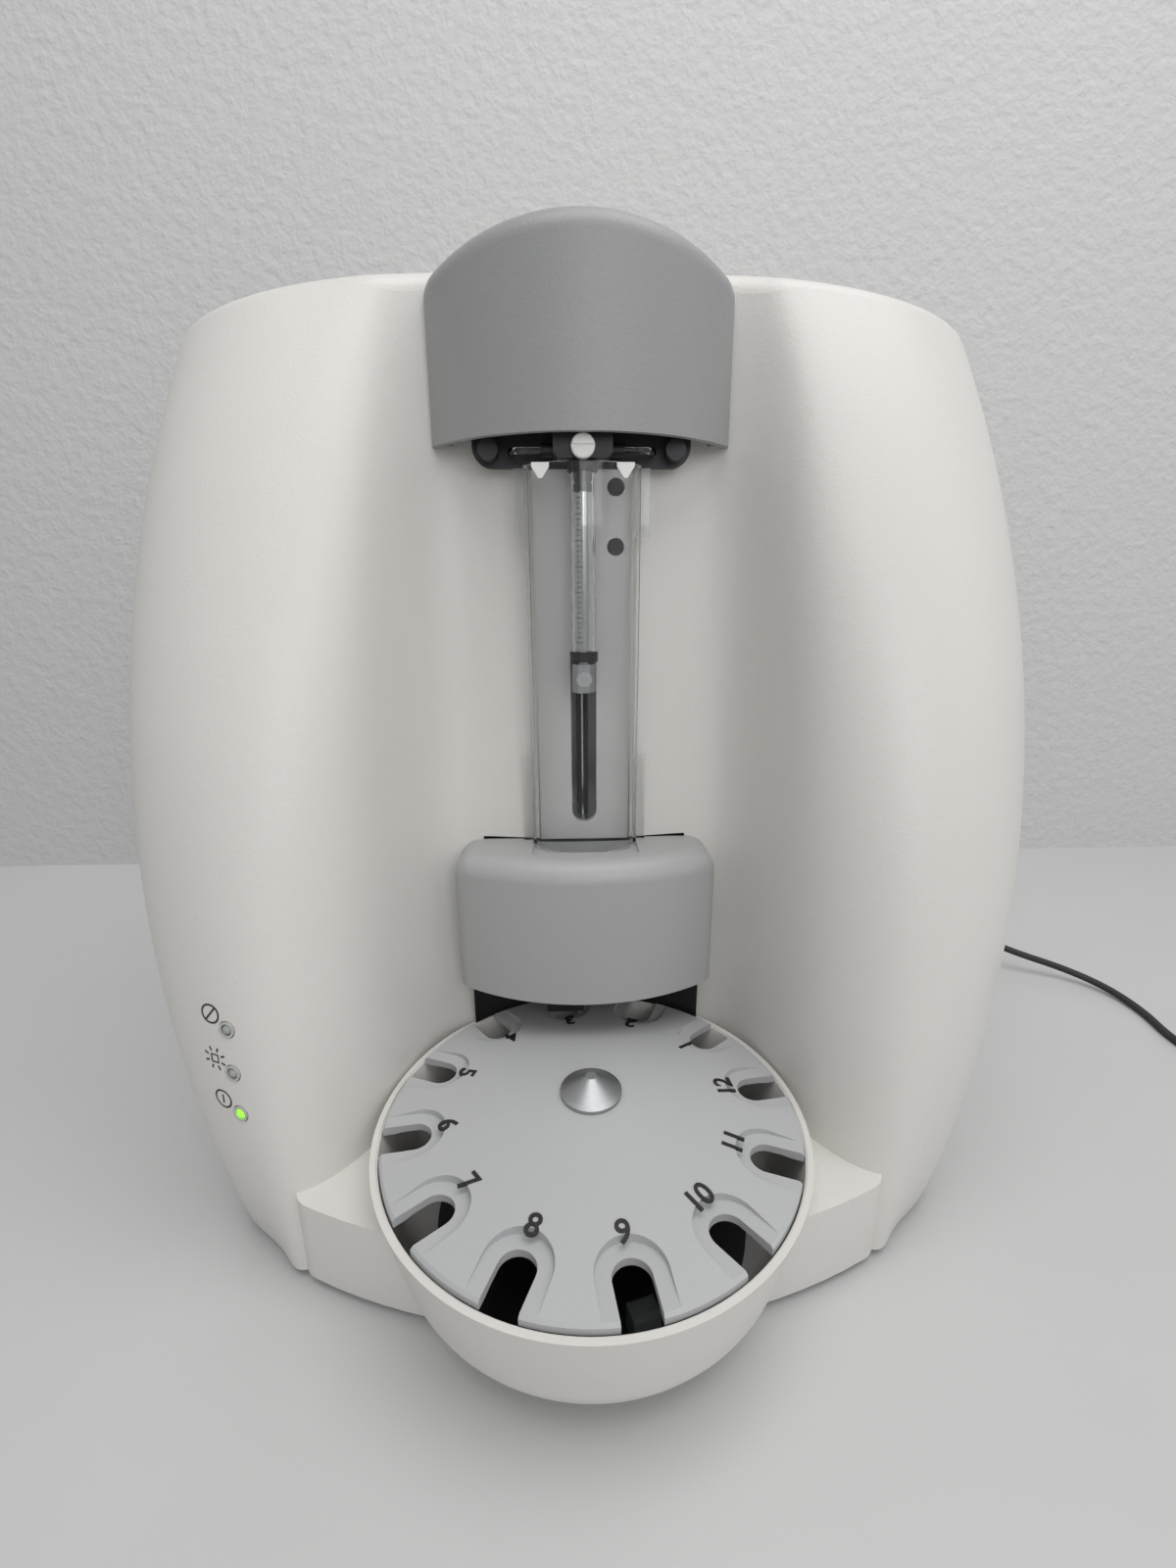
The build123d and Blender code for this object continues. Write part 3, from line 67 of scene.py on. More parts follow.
# Which moulding, metal or rubber each construction piece is made of.
FINISH_OF = {
    "moulding": ("front_shell", "rear_cover", "tray_bowl"),
    "cover_grey": ("upper_cover",),
    # The lower cover takes a lighter copy of the cover grey: painted light.
    "cover_light": ("lower_cover",),
    "satin_plate": ("channel_plate",),
    "dark_plate": ("under_plate", "probe_bracket"),
    # The cavity shroud is black so that the slot under the lower cover reads dark: painted shade.
    "black_moulding": (
        "tray_liner", "cavity_shroud", "carousel_motor", "valve_body", "barrel_collars",
        "syringe_motor", "probe_motor", "objective_lens", "camera_body", "fan_frame", "fan_rotor",
        "power_inlet", "switch_frame", "switch_rocker"),
    "disc_grey": ("carousel_disc",),
    "clear_acrylic": ("clear_guard",),
    "clear_glass": ("syringe_barrel", "flow_cell"),
    "bright_steel": (
        "carousel_spindle", "valve_motor", "plunger_rod", "clamp_screw", "lead_screw",
        "probe_needle", "data_port"),
    "turned_alloy": (
        "carousel_knob", "plunger_clamp", "syringe_carriage", "probe_arm", "drive_pulley",
        "idler_pulley", "optics_base", "lamp_housing"),
    "black_rubber": ("feet", "plunger_seal", "probe_belt"),
    "white_nylon": ("valve_rotor", "fluid_fittings"),
    "zinc_sheet": ("base_plate", "pump_frame", "upright", "power_supply", "rear_panel"),
    "circuit_board": ("control_board",),
    "sensor_block": ("cup_sensor",),
    "lamp_bezel": ("lamp_bezels",),
    "lamp_lens": ("lamp_lenses",),
    "soft_tubing": ("valve_tubing",),
    "lead_jacket": ("lead_connector", "lead_plug"),
}


# ---------------------------------------------------------------- sizes and colours
def length_prop(label, text, millimetres):
    """A length that a user may change, given in millimetres and held in metres."""
    return bpy.props.FloatProperty(
        name=label, description=text, default=millimetres * MM, min=0.0, precision=5, unit="LENGTH")


def colour_prop(label, text, value):
    """A colour that a user may change."""
    return bpy.props.FloatVectorProperty(
        name=label, description=text, default=value, subtype="COLOR", size=3, min=0.0, max=1.0)


def angle_prop(label, text, degrees):
    """An angle that a user may change."""
    return bpy.props.FloatProperty(
        name=label, description=text, default=math.radians(degrees), subtype="ANGLE", unit="ROTATION")


class CounterStage(bpy.types.PropertyGroup):
    """Bench, light and camera."""
    lens: bpy.props.FloatProperty(
        name="Lens", description="Focal length of the camera", default=15.365, min=5.0, unit="CAMERA")
    camera_place: bpy.props.FloatVectorProperty(
        name="Camera Place", description="Where the camera stands", size=3, subtype="TRANSLATION",
        default=(-0.0075, -0.3410, 0.2618))
    camera_pitch: angle_prop("Pitch", "How far the camera looks down", 15.89)
    camera_yaw: angle_prop("Yaw", "How far the camera turns to the left", -1.78)
    camera_roll: angle_prop("Roll", "How far the camera leans", -0.32)
    bench_colour: colour_prop("Bench", "Colour of the bench top", (0.56, 0.56, 0.56))
    wall_colour: colour_prop("Wall", "Colour of the wall behind", (0.60, 0.595, 0.595))


class CounterMoulding(bpy.types.PropertyGroup):
    """The moulded housing and covers."""
    housing_colour: colour_prop("Housing", "Colour of the off-white mouldings", (0.68, 0.665, 0.635))
    cover_colour: colour_prop("Covers", "Colour of the grey covers", (0.30, 0.303, 0.303))
    disc_colour: colour_prop("Carousel", "Colour of the carousel", (0.45, 0.455, 0.46))
    grain: length_prop("Grain", "Size of the moulded grain", 1.1)


class CounterNumbers(bpy.types.PropertyGroup):
    """Numbers on the carousel."""
    height: length_prop("Height", "Height of a number", 7.9)
    relief: length_prop("Relief", "How far a number stands out", 0.35)
    weight: length_prop("Weight", "How much is added to each side of a number's stroke", 0.16)
    ring_radius: length_prop("Ring", "Radius of the ring of numbers", 57.0)
    phase: angle_prop("Phase", "Turn of the ninth number from straight ahead", 8.4)


class CounterSyringe(bpy.types.PropertyGroup):
    """The guard's clips and the barrel's marks."""
    guard_wall: length_prop("Guard Wall", "Thickness of the guard's front wall", 2.0)
    clip_reach: length_prop("Clip Reach", "Distance of a clip from the middle", 16.5)
    clip_height: length_prop("Clip Height", "Height of a clip", 5.6)
    mark: length_prop("Mark", "Thickness of a printed mark", 0.28)


class CounterLamps(bpy.types.PropertyGroup):
    """Status lamps and their symbols."""
    line: length_prop("Line", "Width of a symbol's line", 0.75)
    ring: length_prop("Ring", "Radius of a symbol's ring", 3.6)
    lit_colour: colour_prop("Lit", "Colour of the lit lamp", (0.30, 0.95, 0.05))


class CounterLead(bpy.types.PropertyGroup):
    """The data lead."""
    diameter: length_prop("Diameter", "Diameter of the lead", 4.5)
    turn_radius: length_prop("Turns", "Mean radius of the coil", 25.0)
    colour: colour_prop("Jacket", "Colour of the jacket", (0.018, 0.018, 0.019))


# ---------------------------------------------------------------- shader arithmetic
class Wire:
    """An output socket that takes part in arithmetic."""

    def __init__(self, shader, socket):
        self.shader = shader
        self.socket = socket

    def maths(self, operation, *others):
        values = dict(enumerate((self,) + others))
        return self.shader.node("ShaderNodeMath", {"operation": operation}, values)

    def __add__(self, other):
        return self.maths("ADD", other)

    def __sub__(self, other):
        return self.maths("SUBTRACT", other)

    def __mul__(self, other):
        return self.maths("MULTIPLY", other)

    def __rsub__(self, other):
        return self.maths("MULTIPLY", -1.0).maths("ADD", other)

    __radd__ = __add__
    __rmul__ = __mul__

    def above(self, edge, soft):
        """0 below the edge, 1 above it, with a soft step."""
        return self.shader.node(
            "ShaderNodeMapRange", {"interpolation_type": "SMOOTHSTEP"},
            {"Value": self, "From Min": edge - soft, "From Max": edge + soft})


class Shader:
    """A material under construction, with one Principled shader."""

    def __init__(self, name, colour, roughness, **settings):
        self.material = bpy.data.materials.new(name)
        self.material.use_nodes = True
        self.tree = self.material.node_tree
        self.surface = self.tree.nodes["Principled BSDF"]
        self.surface.inputs["Base Color"].default_value = (*colour, 1.0)
        self.surface.inputs["Roughness"].default_value = roughness
        for key, value in settings.items():
            self.surface.inputs[key.replace("_", " ")].default_value = value

    def node(self, kind, settings=None, values=None, out=0):
        """Add a node: its settings first, then the values or links of its sockets."""
        made = self.tree.nodes.new(kind)
        for key, value in (settings or {}).items():
            setattr(made, key, value)
        for key, value in (values or {}).items():
            if isinstance(value, Wire):
                self.tree.links.new(value.socket, made.inputs[key])
            else:
                made.inputs[key].default_value = value
        return Wire(self, made.outputs[out])

    def feed(self, name, wire):
        """Link a wire to the surface."""
        self.tree.links.new(wire.socket, self.surface.inputs[name])

    def place(self):
        """Object coordinates, in metres."""
        return self.node("ShaderNodeTexCoord", out="Object")

    def noise(self, place, size, detail=2.0, rough=0.5):
        """Noise whose patches are about size millimetres across."""
        return self.node(
            "ShaderNodeTexNoise", {}, {"Vector": place, "Scale": 1.0 / (size * MM), "Detail": detail,
                                       "Roughness": rough}, out="Fac")

    def cells(self, place, size, smooth=1.0):
        """Rounded cells about size millimetres across."""
        return self.node(
            "ShaderNodeTexVoronoi", {"feature": "SMOOTH_F1"},
            {"Vector": place, "Scale": 1.0 / (size * MM), "Smoothness": smooth}, out="Distance")

    def mix(self, factor, first, second):
        """Colour between two colours, which the Mix node takes at its sockets 6 and 7."""
        return self.node(
            "ShaderNodeMix", {"data_type": "RGBA"},
            {0: factor, 6: with_alpha(first), 7: with_alpha(second)}, out=2)

    def bump(self, height, depth, strength=1.0):
        """Raise the surface by up to depth millimetres."""
        normal = self.node(
            "ShaderNodeBump", {}, {"Height": height, "Distance": depth * MM, "Strength": strength},
            out="Normal")
        self.feed("Normal", normal)

    def distance(self, place, point):
        """Distance in millimetres from a point of the row frame, given in millimetres."""
        metres = self.node(
            "ShaderNodeVectorMath", {"operation": "DISTANCE"},
            {0: place, 1: tuple(value * MM for value in point)}, out="Value")
        return metres * (1.0 / MM)

    def axes(self, place):
        """The three coordinates of a place."""
        split = self.node("ShaderNodeSeparateXYZ", {}, {0: place})
        return [Wire(self, socket) for socket in split.socket.node.outputs]


def with_alpha(colour):
    """A colour with its alpha, or a wire as it is."""
    if isinstance(colour, Wire):
        return colour
    return (*colour, 1.0)


def scaled(colour, factor):
    """A colour made lighter or darker."""
    return tuple(min(1.0, channel * factor) for channel in colour)


# ---------------------------------------------------------------- finishes
def moulded(name, colour, grain, gloss, depth, wear=None):
    """Moulded plastic with a pebbled grain, in millimetres, an uneven gloss and any wear."""
    shader = Shader(name, colour, gloss, IOR=1.5)
    place = shader.place()
    drift = shader.noise(place, 90.0, 3.0)
    speck = shader.noise(place, grain * 2.5, 2.0)
    tone = shader.mix(drift, scaled(colour, 0.965), scaled(colour, 1.03))
    tone = shader.mix(speck * 0.12, tone, scaled(colour, 0.86))
    if wear:
        tone = wear(shader, place, colour, tone)
    shader.feed("Base Color", tone)
    shader.feed("Roughness", speck * 0.10 + drift * 0.05 + (gloss - 0.07))
    pebble = shader.cells(place, grain)
    shader.bump(pebble + shader.noise(place, grain * 0.6, 3.0) * 0.5, depth)
    return shader.material


def housing_wear(shader, place, colour, tone):
    """Darker towards the foot, a scuff on one lobe and hairlines low on the other."""
    height = shader.axes(place)[2]
    # Darker towards the foot: the colour fades to a darker tone, mottled by noise, over the lowest forty
    # millimetres or so.
    foot_darkening = (1.0 - height.above(FOOT_DARK_TOP, FOOT_DARK_FADE)) * shader.noise(place, 9.0, 4.0) * 0.35
    tone = shader.mix(foot_darkening, tone, scaled(colour, 0.72))
    scuff = 1.0 - shader.distance(place, SCUFF_PLACE).above(SCUFF_REACH, SCUFF_FADE)
    scratches = shader.noise(place, 1.3, 4.0, 0.75).above(0.57, 0.03)
    tone = shader.mix(scuff * scratches * 0.55, tone, (0.12, 0.12, 0.12))
    rub = 1.0 - shader.distance(place, RUB_PLACE).above(RUB_REACH, RUB_FADE)
    level = shader.node("ShaderNodeMapping", {}, {"Vector": place, "Scale": (60.0, 60.0, 700.0)})
    hairs = shader.node(
        "ShaderNodeTexNoise", {}, {"Vector": level, "Scale": 2.0, "Detail": 3.0}, out="Fac")
    return shader.mix(rub * hairs.above(0.63, 0.015) * 0.35, tone, scaled(colour, 0.62))


def moulding():
    """Off-white housing plastic, a little worn and darker towards the foot."""
    sizes = bpy.context.scene.counter_moulding
    colour = tuple(sizes.housing_colour)
    return moulded("moulding", colour, sizes.grain / MM, gloss=0.40, depth=0.055, wear=housing_wear)


def cover_grey():
    """Grey textured cover plastic."""
    sizes = bpy.context.scene.counter_moulding
    colour = tuple(sizes.cover_colour)
    return moulded("cover_grey", colour, sizes.grain / MM, gloss=0.42, depth=0.07)


def cover_light():
    """Grey textured cover plastic made lighter: a lit copy of the cover grey, painted light for the
    lower cover.
    """
    sizes = bpy.context.scene.counter_moulding
    # Painted light: the cover grey made 1.28 times lighter, to make up for the light that the lower
    # cover gets too little of.
    colour = scaled(sizes.cover_colour, 1.28)
    return moulded("cover_light", colour, sizes.grain / MM, gloss=0.42, depth=0.07)


def disc_grey():
    """Light grey carousel plastic."""
    sizes = bpy.context.scene.counter_moulding
    colour = tuple(sizes.disc_colour)
    return moulded("disc_grey", colour, sizes.grain / MM * 0.8, gloss=0.5, depth=0.03)


def black_moulding():
    """Satin black plastic."""
    return moulded("black_moulding", (0.012, 0.012, 0.013), grain=0.7, gloss=0.45, depth=0.02)


def painted(name, colour, gloss):
    """Powder-painted sheet metal with a fine orange-peel surface."""
    shader = Shader(name, colour, gloss)
    place = shader.place()
    drift = shader.noise(place, 30.0, 3.0)
    shader.feed("Base Color", shader.mix(drift, scaled(colour, 0.94), scaled(colour, 1.05)))
    shader.feed("Roughness", shader.noise(place, 2.0) * 0.12 + (gloss - 0.06))
    shader.bump(shader.noise(place, 0.8, 3.0), 0.02)
    return shader.material


def satin_plate():
    """Satin grey plate behind the guard."""
    return painted("satin_plate", (0.64, 0.635, 0.625), gloss=0.42)


def dark_plate():
    """Black painted plate."""
    return painted("dark_plate", (0.016, 0.016, 0.018), gloss=0.4)


def sensor_block():
    """Grey-green sensor block."""
    return painted("sensor_block", (0.12, 0.15, 0.135), gloss=0.4)


def metal(name, colour, gloss, stretch):
    """Bare metal with fine lines left by its making, stretched along one axis."""
    shader = Shader(name, colour, gloss, Metallic=1.0)
    place = shader.place()
    lay = shader.node("ShaderNodeMapping", {}, {"Vector": place, "Scale": stretch})
    lines = shader.node(
        "ShaderNodeTexNoise", {}, {"Vector": lay, "Scale": 1000.0, "Detail": 3.0}, out="Fac")
    shader.feed("Base Color", shader.mix(lines, scaled(colour, 0.88), scaled(colour, 1.06)))
    shader.feed("Roughness", lines * 0.16 + (gloss - 0.08))
    shader.bump(lines, 0.008)
    return shader.material


def bright_steel():
    """Ground steel, with lines round its shafts."""
    return metal("bright_steel", (0.62, 0.62, 0.63), gloss=0.24, stretch=(0.05, 0.05, 2.0))


def zinc_sheet():
    """Zinc-plated sheet."""
    return metal("zinc_sheet", (0.55, 0.56, 0.57), gloss=0.38, stretch=(0.15, 1.0, 1.0))


def turned_alloy():
    """Turned aluminium: fine rings about the carousel's axis."""
    colour = (0.42, 0.43, 0.44)
    shader = Shader("turned_alloy", colour, 0.44, Metallic=1.0)
    place = shader.place()
    low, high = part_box("carousel_knob")
    centre = (low + high) / 2
    ring_rate = 9000.0
    x, y = shader.axes(place)[:2]
    reach = ((x - centre.x) * (x - centre.x) + (y - centre.y) * (y - centre.y)).maths("SQRT")
    rings = (reach * ring_rate).maths("SINE") * 0.5 + 0.5
    shader.feed("Base Color", shader.mix(rings, scaled(colour, 0.86), scaled(colour, 1.05)))
    shader.feed("Roughness", shader.noise(place, 0.9) * 0.12 + 0.38)
    shader.bump(rings, 0.012)
    return shader.material


def clear(name, tint, ior):
    """Clear plastic or glass with a few soft smears."""
    shader = Shader(name, tint, 0.03, Transmission_Weight=1.0, IOR=ior)
    place = shader.place()
    smear = shader.noise(place, 14.0, 4.0, 0.65).above(0.56, 0.08)
    shader.feed("Roughness", smear * 0.05 + 0.015)
    return shader.material


def clear_acrylic():
    """Clear acrylic of the guard."""
    return clear("clear_acrylic", (0.975, 0.985, 0.985), ior=1.32)


def clear_glass():
    """Glass of the syringe barrel and the flow cell."""
    return clear("clear_glass", (0.97, 0.98, 0.98), ior=1.45)


def soft_tubing():
    """Clear fluid tubing."""
    return clear("soft_tubing", (0.90, 0.91, 0.91), ior=1.4)


def rubber(name, colour):
    """Matt rubber with faint bloom."""
    shader = Shader(name, colour, 0.7)
    place = shader.place()
    bloom = shader.noise(place, 6.0, 4.0)
    shader.feed("Base Color", shader.mix(bloom * 0.3, colour, scaled(colour, 2.4)))
    shader.feed("Roughness", bloom * 0.2 + 0.55)
    shader.bump(shader.noise(place, 0.5), 0.015)
    return shader.material


def black_rubber():
    """Rubber of the feet, seal and belt."""
    return rubber("black_rubber", (0.016, 0.016, 0.017))


def lead_jacket():
    """Jacket of the lead and its connectors."""
    return rubber("lead_jacket", tuple(bpy.context.scene.counter_lead.colour))


def white_nylon():
    """White nylon of the valve's knob and the fittings."""
    return moulded("white_nylon", (0.80, 0.80, 0.78), grain=0.5, gloss=0.36, depth=0.01)


def circuit_board():
    """Green solder mask with faint copper runs."""
    colour = (0.015, 0.11, 0.05)
    shader = Shader("circuit_board", colour, 0.35)
    place = shader.place()
    runs = shader.node(
        "ShaderNodeTexBrick", {"offset": 0.5},
        {"Vector": place, "Scale": 120.0, "Mortar Size": 0.02, "Color1": (1.0, 1.0, 1.0, 1.0),
         "Color2": (0.8, 0.8, 0.8, 1.0), "Mortar": (0.0, 0.0, 0.0, 1.0)}, out="Fac")
    shader.feed("Base Color", shader.mix(runs * 0.6, colour, (0.03, 0.20, 0.08)))
    shader.feed("Roughness", runs * 0.1 + 0.3)
    return shader.material


def lamp_bezel():
    """Polished light grey bezel."""
    colour = (0.50, 0.50, 0.48)
    shader = Shader("lamp_bezel", colour, 0.22)
    place = shader.place()
    shader.feed("Base Color", shader.mix(shader.noise(place, 1.5), scaled(colour, 0.9), colour))
    shader.feed("Roughness", shader.noise(place, 1.0) * 0.15 + 0.15)
    return shader.material


def lamp_lens():
    """Water-clear lamp lenses, of which the lowest is lit."""
    colour = (0.36, 0.38, 0.35)
    lit = tuple(bpy.context.scene.counter_lamps.lit_colour)
    shader = Shader("lamp_lens", colour, 0.12, Emission_Strength=1.2)
    place = shader.place()
    on = 1.0 - shader.axes(place)[2].above(LIT_BELOW, MM)
    glow = shader.mix(shader.noise(place, 1.6, 3.0), scaled(lit, 0.8), lit)
    shader.feed("Base Color", shader.mix(on, colour, scaled(lit, 0.7)))
    shader.feed("Emission Color", shader.mix(on, (0.0, 0.0, 0.0), glow))
    return shader.material


FINISHES = {maker.__name__: maker for maker in (
    moulding, cover_grey, cover_light, satin_plate, dark_plate, black_moulding, disc_grey, clear_acrylic,
    clear_glass, bright_steel, turned_alloy, black_rubber, white_nylon, zinc_sheet, circuit_board,
    sensor_block, lamp_bezel, lamp_lens, soft_tubing, lead_jacket)}


def finish(name):
    """The material of that name, made when it is first needed."""
    return bpy.data.materials.get(name) or FINISHES[name]()


def dress(*names):
    """Give the construction pieces of these finishes their materials."""
    for name in names:
        for node in FINISH_OF[name]:
            for slot in NODES[node].material_slots:
                slot.material = finish(name)


# ---------------------------------------------------------------- mesh helpers
def mesh_piece(name, mesh, body, material):
    """Link a mesh as a piece that rides on a body."""
    mesh.materials.clear()
    mesh.materials.append(finish(material))
    piece = bpy.data.objects.new(name, mesh)
    bpy.context.scene.collection.objects.link(piece)
    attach(piece, body)
    return piece


def bmesh_piece(name, shape, body, material, smooth=True):
    """Turn a bmesh into a piece."""
    bmesh.ops.recalc_face_normals(shape, faces=shape.faces[:])
    mesh = bpy.data.meshes.new(name)
    shape.to_mesh(mesh)
    shape.free()
    for face in mesh.polygons:
        face.use_smooth = smooth
    return mesh_piece(name, mesh, body, material)


def surface_of(node):
    """Search tree of a construction piece's surface."""
    shape = bmesh.new()
    shape.from_mesh(NODES[node].data)
    tree = BVHTree.FromBMesh(shape)
    shape.free()
    return tree


def meet(tree, start, aim, what):
    """Point and normal where a ray from start along aim meets a surface."""
    hit, normal = tree.ray_cast(start, aim)[:2]
    if hit is None:
        raise RuntimeError(what + " misses its surface")
    return hit, normal


def add_ribbon(shape, tree, points, width, lift, aim):
    """Lay a raised line of the given width on a surface, along points seen against aim."""
    rows = []
    for index, point in enumerate(points):
        before = points[max(index - 1, 0)]
        after = points[min(index + 1, len(points) - 1)]
        side = (after - before).normalized().cross(aim) * (width / 2)
        row = []
        for offset in (-1.0, 1.0):
            hit = meet(tree, point + side * offset - aim * RAY_STEP, aim, "a symbol's line")[0]
            row.append((hit - aim * lift, hit + aim * lift))
        rows.append(row)
    made = [[(shape.verts.new(top), shape.verts.new(foot)) for top, foot in row] for row in rows]
    for first, second in zip(made, made[1:]):
        shape.faces.new((first[0][0], first[1][0], second[1][0], second[0][0]))
        shape.faces.new((first[0][1], first[0][0], second[0][0], second[0][1]))
        shape.faces.new((first[1][0], first[1][1], second[1][1], second[1][0]))
        shape.faces.new((first[1][1], first[0][1], second[0][1], second[1][1]))
    for end in (made[0], made[-1]):
        shape.faces.new((end[0][0], end[0][1], end[1][1], end[1][0]))


def ring_points(centre, radius, count=28):
    """Points of an upright ring that faces the front."""
    turns = [2.0 * math.pi * index / count for index in range(count + 1)]
    return [centre + Vector((radius * math.cos(turn), 0.0, radius * math.sin(turn))) for turn in turns]


def line_points(start, end, count=4):
    """Evenly spaced points of a straight line."""
    return [start.lerp(end, index / count) for index in range(count + 1)]


def add_lathe(shape, place, profile, count=20):
    """Turn a profile of (radius, height) points, in millimetres, about a place's Z axis."""
    turns = [2.0 * math.pi * index / count for index in range(count)]
    ways = [(math.cos(turn), math.sin(turn)) for turn in turns]
    rings = []
    for radius, height in profile:
        points = [Vector((radius * MM * x, radius * MM * y, height * MM)) for x, y in ways]
        rings.append([shape.verts.new(place @ point) for point in points])
    for first, second in zip(rings, rings[1:]):
        for index in range(count):
            after = (index + 1) % count
            shape.faces.new((first[index], first[after], second[after], second[index]))
    shape.faces.new(reversed(rings[0]))
    shape.faces.new(rings[-1])


def add_prism(shape, outline, front, back):
    """Raise an outline of (x, z) points between two depths."""
    rows = [[shape.verts.new((x, y, z)) for x, z in outline] for y in (front, back)]
    shape.faces.new(rows[0])
    shape.faces.new(reversed(rows[1]))
    for index in range(len(outline)):
        after = (index + 1) % len(outline)
        shape.faces.new((rows[0][after], rows[0][index], rows[1][index], rows[1][after]))


# ---------------------------------------------------------------- stage
class COUNTER_OT_stage(bpy.types.Operator):
    """Set up the bench, the wall, soft light and the camera"""
    bl_idname = "counter.stage"
    bl_label = "Stage"

    def execute(self, context):
        sizes = context.scene.counter_stage
        self.bench(sizes)
        self.light(context)
        self.camera(context, sizes)
        return {"FINISHED"}

    def bench(self, sizes):
        """A pale bench top, and a pale wall close behind it that shows from the front only."""
        reach, wall_y, wall_height = 2.6, 0.305, 2.4
        level = [(-reach, -reach, 0.0), (reach, -reach, 0.0), (reach, reach, 0.0), (-reach, reach, 0.0)]
        upright = [(-reach, wall_y, 0.0), (reach, wall_y, 0.0), (reach, wall_y, wall_height),
                   (-reach, wall_y, wall_height)]
        self.sheet("bench", level, self.bench_material(sizes))
        wall = self.sheet("wall", upright, self.wall_material(sizes))
        wall.visible_shadow = False
        wall.visible_diffuse = False

    def sheet(self, name, corners, material):
        """One flat face of the stage."""
        shape = bmesh.new()
        shape.faces.new([shape.verts.new(corner) for corner in corners])
        mesh = bpy.data.meshes.new(name)
        shape.to_mesh(mesh)
        shape.free()
        mesh.materials.append(material)
        piece = bpy.data.objects.new(name, mesh)
        bpy.context.scene.collection.objects.link(piece)
        return piece

    def bench_material(self, sizes):
        """Satin bench top."""
        colour = tuple(sizes.bench_colour)
        shader = Shader("bench", colour, 0.4)
        place = shader.place()
        cloud = shader.noise(place, 60.0, 3.0)
        shader.feed("Base Color", shader.mix(cloud, scaled(colour, 0.98), scaled(colour, 1.01)))
        shader.feed("Roughness", cloud * 0.12 + 0.34)
        return shader.material

    def wall_material(self, sizes):
        """Stippled wall paint, clear when seen from behind."""
        colour = tuple(sizes.wall_colour)
        shader = Shader("wall", colour, 0.75)
        place = shader.place()
        stipple = shader.noise(place, 7.0, 3.0)
        shader.feed("Base Color", shader.mix(stipple, scaled(colour, 0.97), scaled(colour, 1.02)))
        shader.bump(stipple, 1.6)
        behind = shader.node("ShaderNodeNewGeometry", out="Backfacing")
        unseen = shader.node("ShaderNodeBsdfTransparent", out="BSDF")
        solid = Wire(shader, shader.surface.outputs["BSDF"])
        shown = shader.node("ShaderNodeMixShader", {}, {0: behind, 1: solid, 2: unseen})
        output = shader.tree.nodes["Material Output"]
        shader.tree.links.new(shown.socket, output.inputs["Surface"])
        return shader.material

    def light(self, context):
        """A wide soft light overhead, fills at the front, right and back, and an even surround."""
        world = bpy.data.worlds.new("surround")
        world.use_nodes = True
        sky = world.node_tree.nodes["Background"]
        sky.inputs["Color"].default_value = (1.0, 1.0, 1.0, 1.0)
        sky.inputs["Strength"].default_value = 0.38
        context.scene.world = world
        # Name, place, target, width, height and watts.
        lamps = (
            ("overhead", (0.18, -0.35, 1.55), (0.0, 0.0, 0.0), 1.5, 1.0, 12.8),
            ("front_fill", (0.35, -1.4, 0.8), (0.0, 0.0, 0.2), 1.0, 0.8, 5.4),
            ("right_fill", (1.25, -0.7, 0.9), (0.0, 0.0, 0.2), 0.9, 1.2, 2.2),
            ("rear_fill", (-0.5, 1.5, 0.9), (0.0, 0.0, 0.2), 1.4, 1.0, 4.0),
        )
        for name, place, target, width, height, power in lamps:
            data = bpy.data.lights.new(name, "AREA")
            data.shape = "RECTANGLE"
            data.size = width
            data.size_y = height
            data.energy = power
            lamp = bpy.data.objects.new(name, data)
            lamp.location = place
            lamp.rotation_euler = (Vector(target) - Vector(place)).to_track_quat("-Z", "Y").to_euler()
            context.scene.collection.objects.link(lamp)

    def camera(self, context, sizes):
        """The camera, from its pitch, yaw and roll."""
        data = bpy.data.cameras.new("camera")
        data.lens = sizes.lens
        data.sensor_width = 36.0
        data.clip_start = 0.01
        camera = bpy.data.objects.new("camera", data)
        yaw, pitch, roll = sizes.camera_yaw, sizes.camera_pitch, sizes.camera_roll
        ahead = Vector((
            -math.sin(yaw) * math.cos(pitch), math.cos(yaw) * math.cos(pitch), -math.sin(pitch)))
        level = Vector((math.cos(yaw), math.sin(yaw), 0.0))
        upward = level.cross(ahead)
        right = level * math.cos(roll) + upward * math.sin(roll)
        up = upward * math.cos(roll) - level * math.sin(roll)
        turn = Matrix((right, up, -ahead)).transposed()
        camera.matrix_world = Matrix.Translation(sizes.camera_place) @ turn.to_4x4()
        context.scene.collection.objects.link(camera)
        context.scene.camera = camera
        context.scene.view_settings.view_transform = "Standard"


# ---------------------------------------------------------------- data lead
# The lead's points, in metres: from its socket to the coil, and from the coil to its plug.
LEAD_ROUTE = [
    (0.084, 0.218, 0.058), (0.084, 0.240, 0.058), (0.091, 0.263, 0.056), (0.110, 0.279, 0.052),
    (0.140, 0.287, 0.047), (0.175, 0.283, 0.041), (0.212, 0.265, 0.035), (0.242, 0.232, 0.030),
    (0.262, 0.188, 0.026), (0.272, 0.140, 0.022), (0.285, 0.098, 0.019), (0.309, 0.075, 0.014),
    (0.336, 0.064, 0.008), (0.354, 0.046, 0.004), (0.359, 0.020, 0.0023), (0.353, -0.008, 0.0023),
    (0.3585, -0.032, 0.0023),
]
PLUG_ROUTE = [(0.4175, -0.044, 0.0074), (0.4175, -0.036, 0.0045)]
# The coil: its middle, the height of its lowest turns, the gap between turns, the angle at which
# the lead comes in, the points in a turn, and the share of a turn in which it steps to the next.
COIL_CENTRE = (0.388, -0.052)
COIL_REST = 0.0024
COIL_GAP = 0.0001
COIL_START = 168.0
COIL_POINTS = 14
COIL_STEP = 0.14


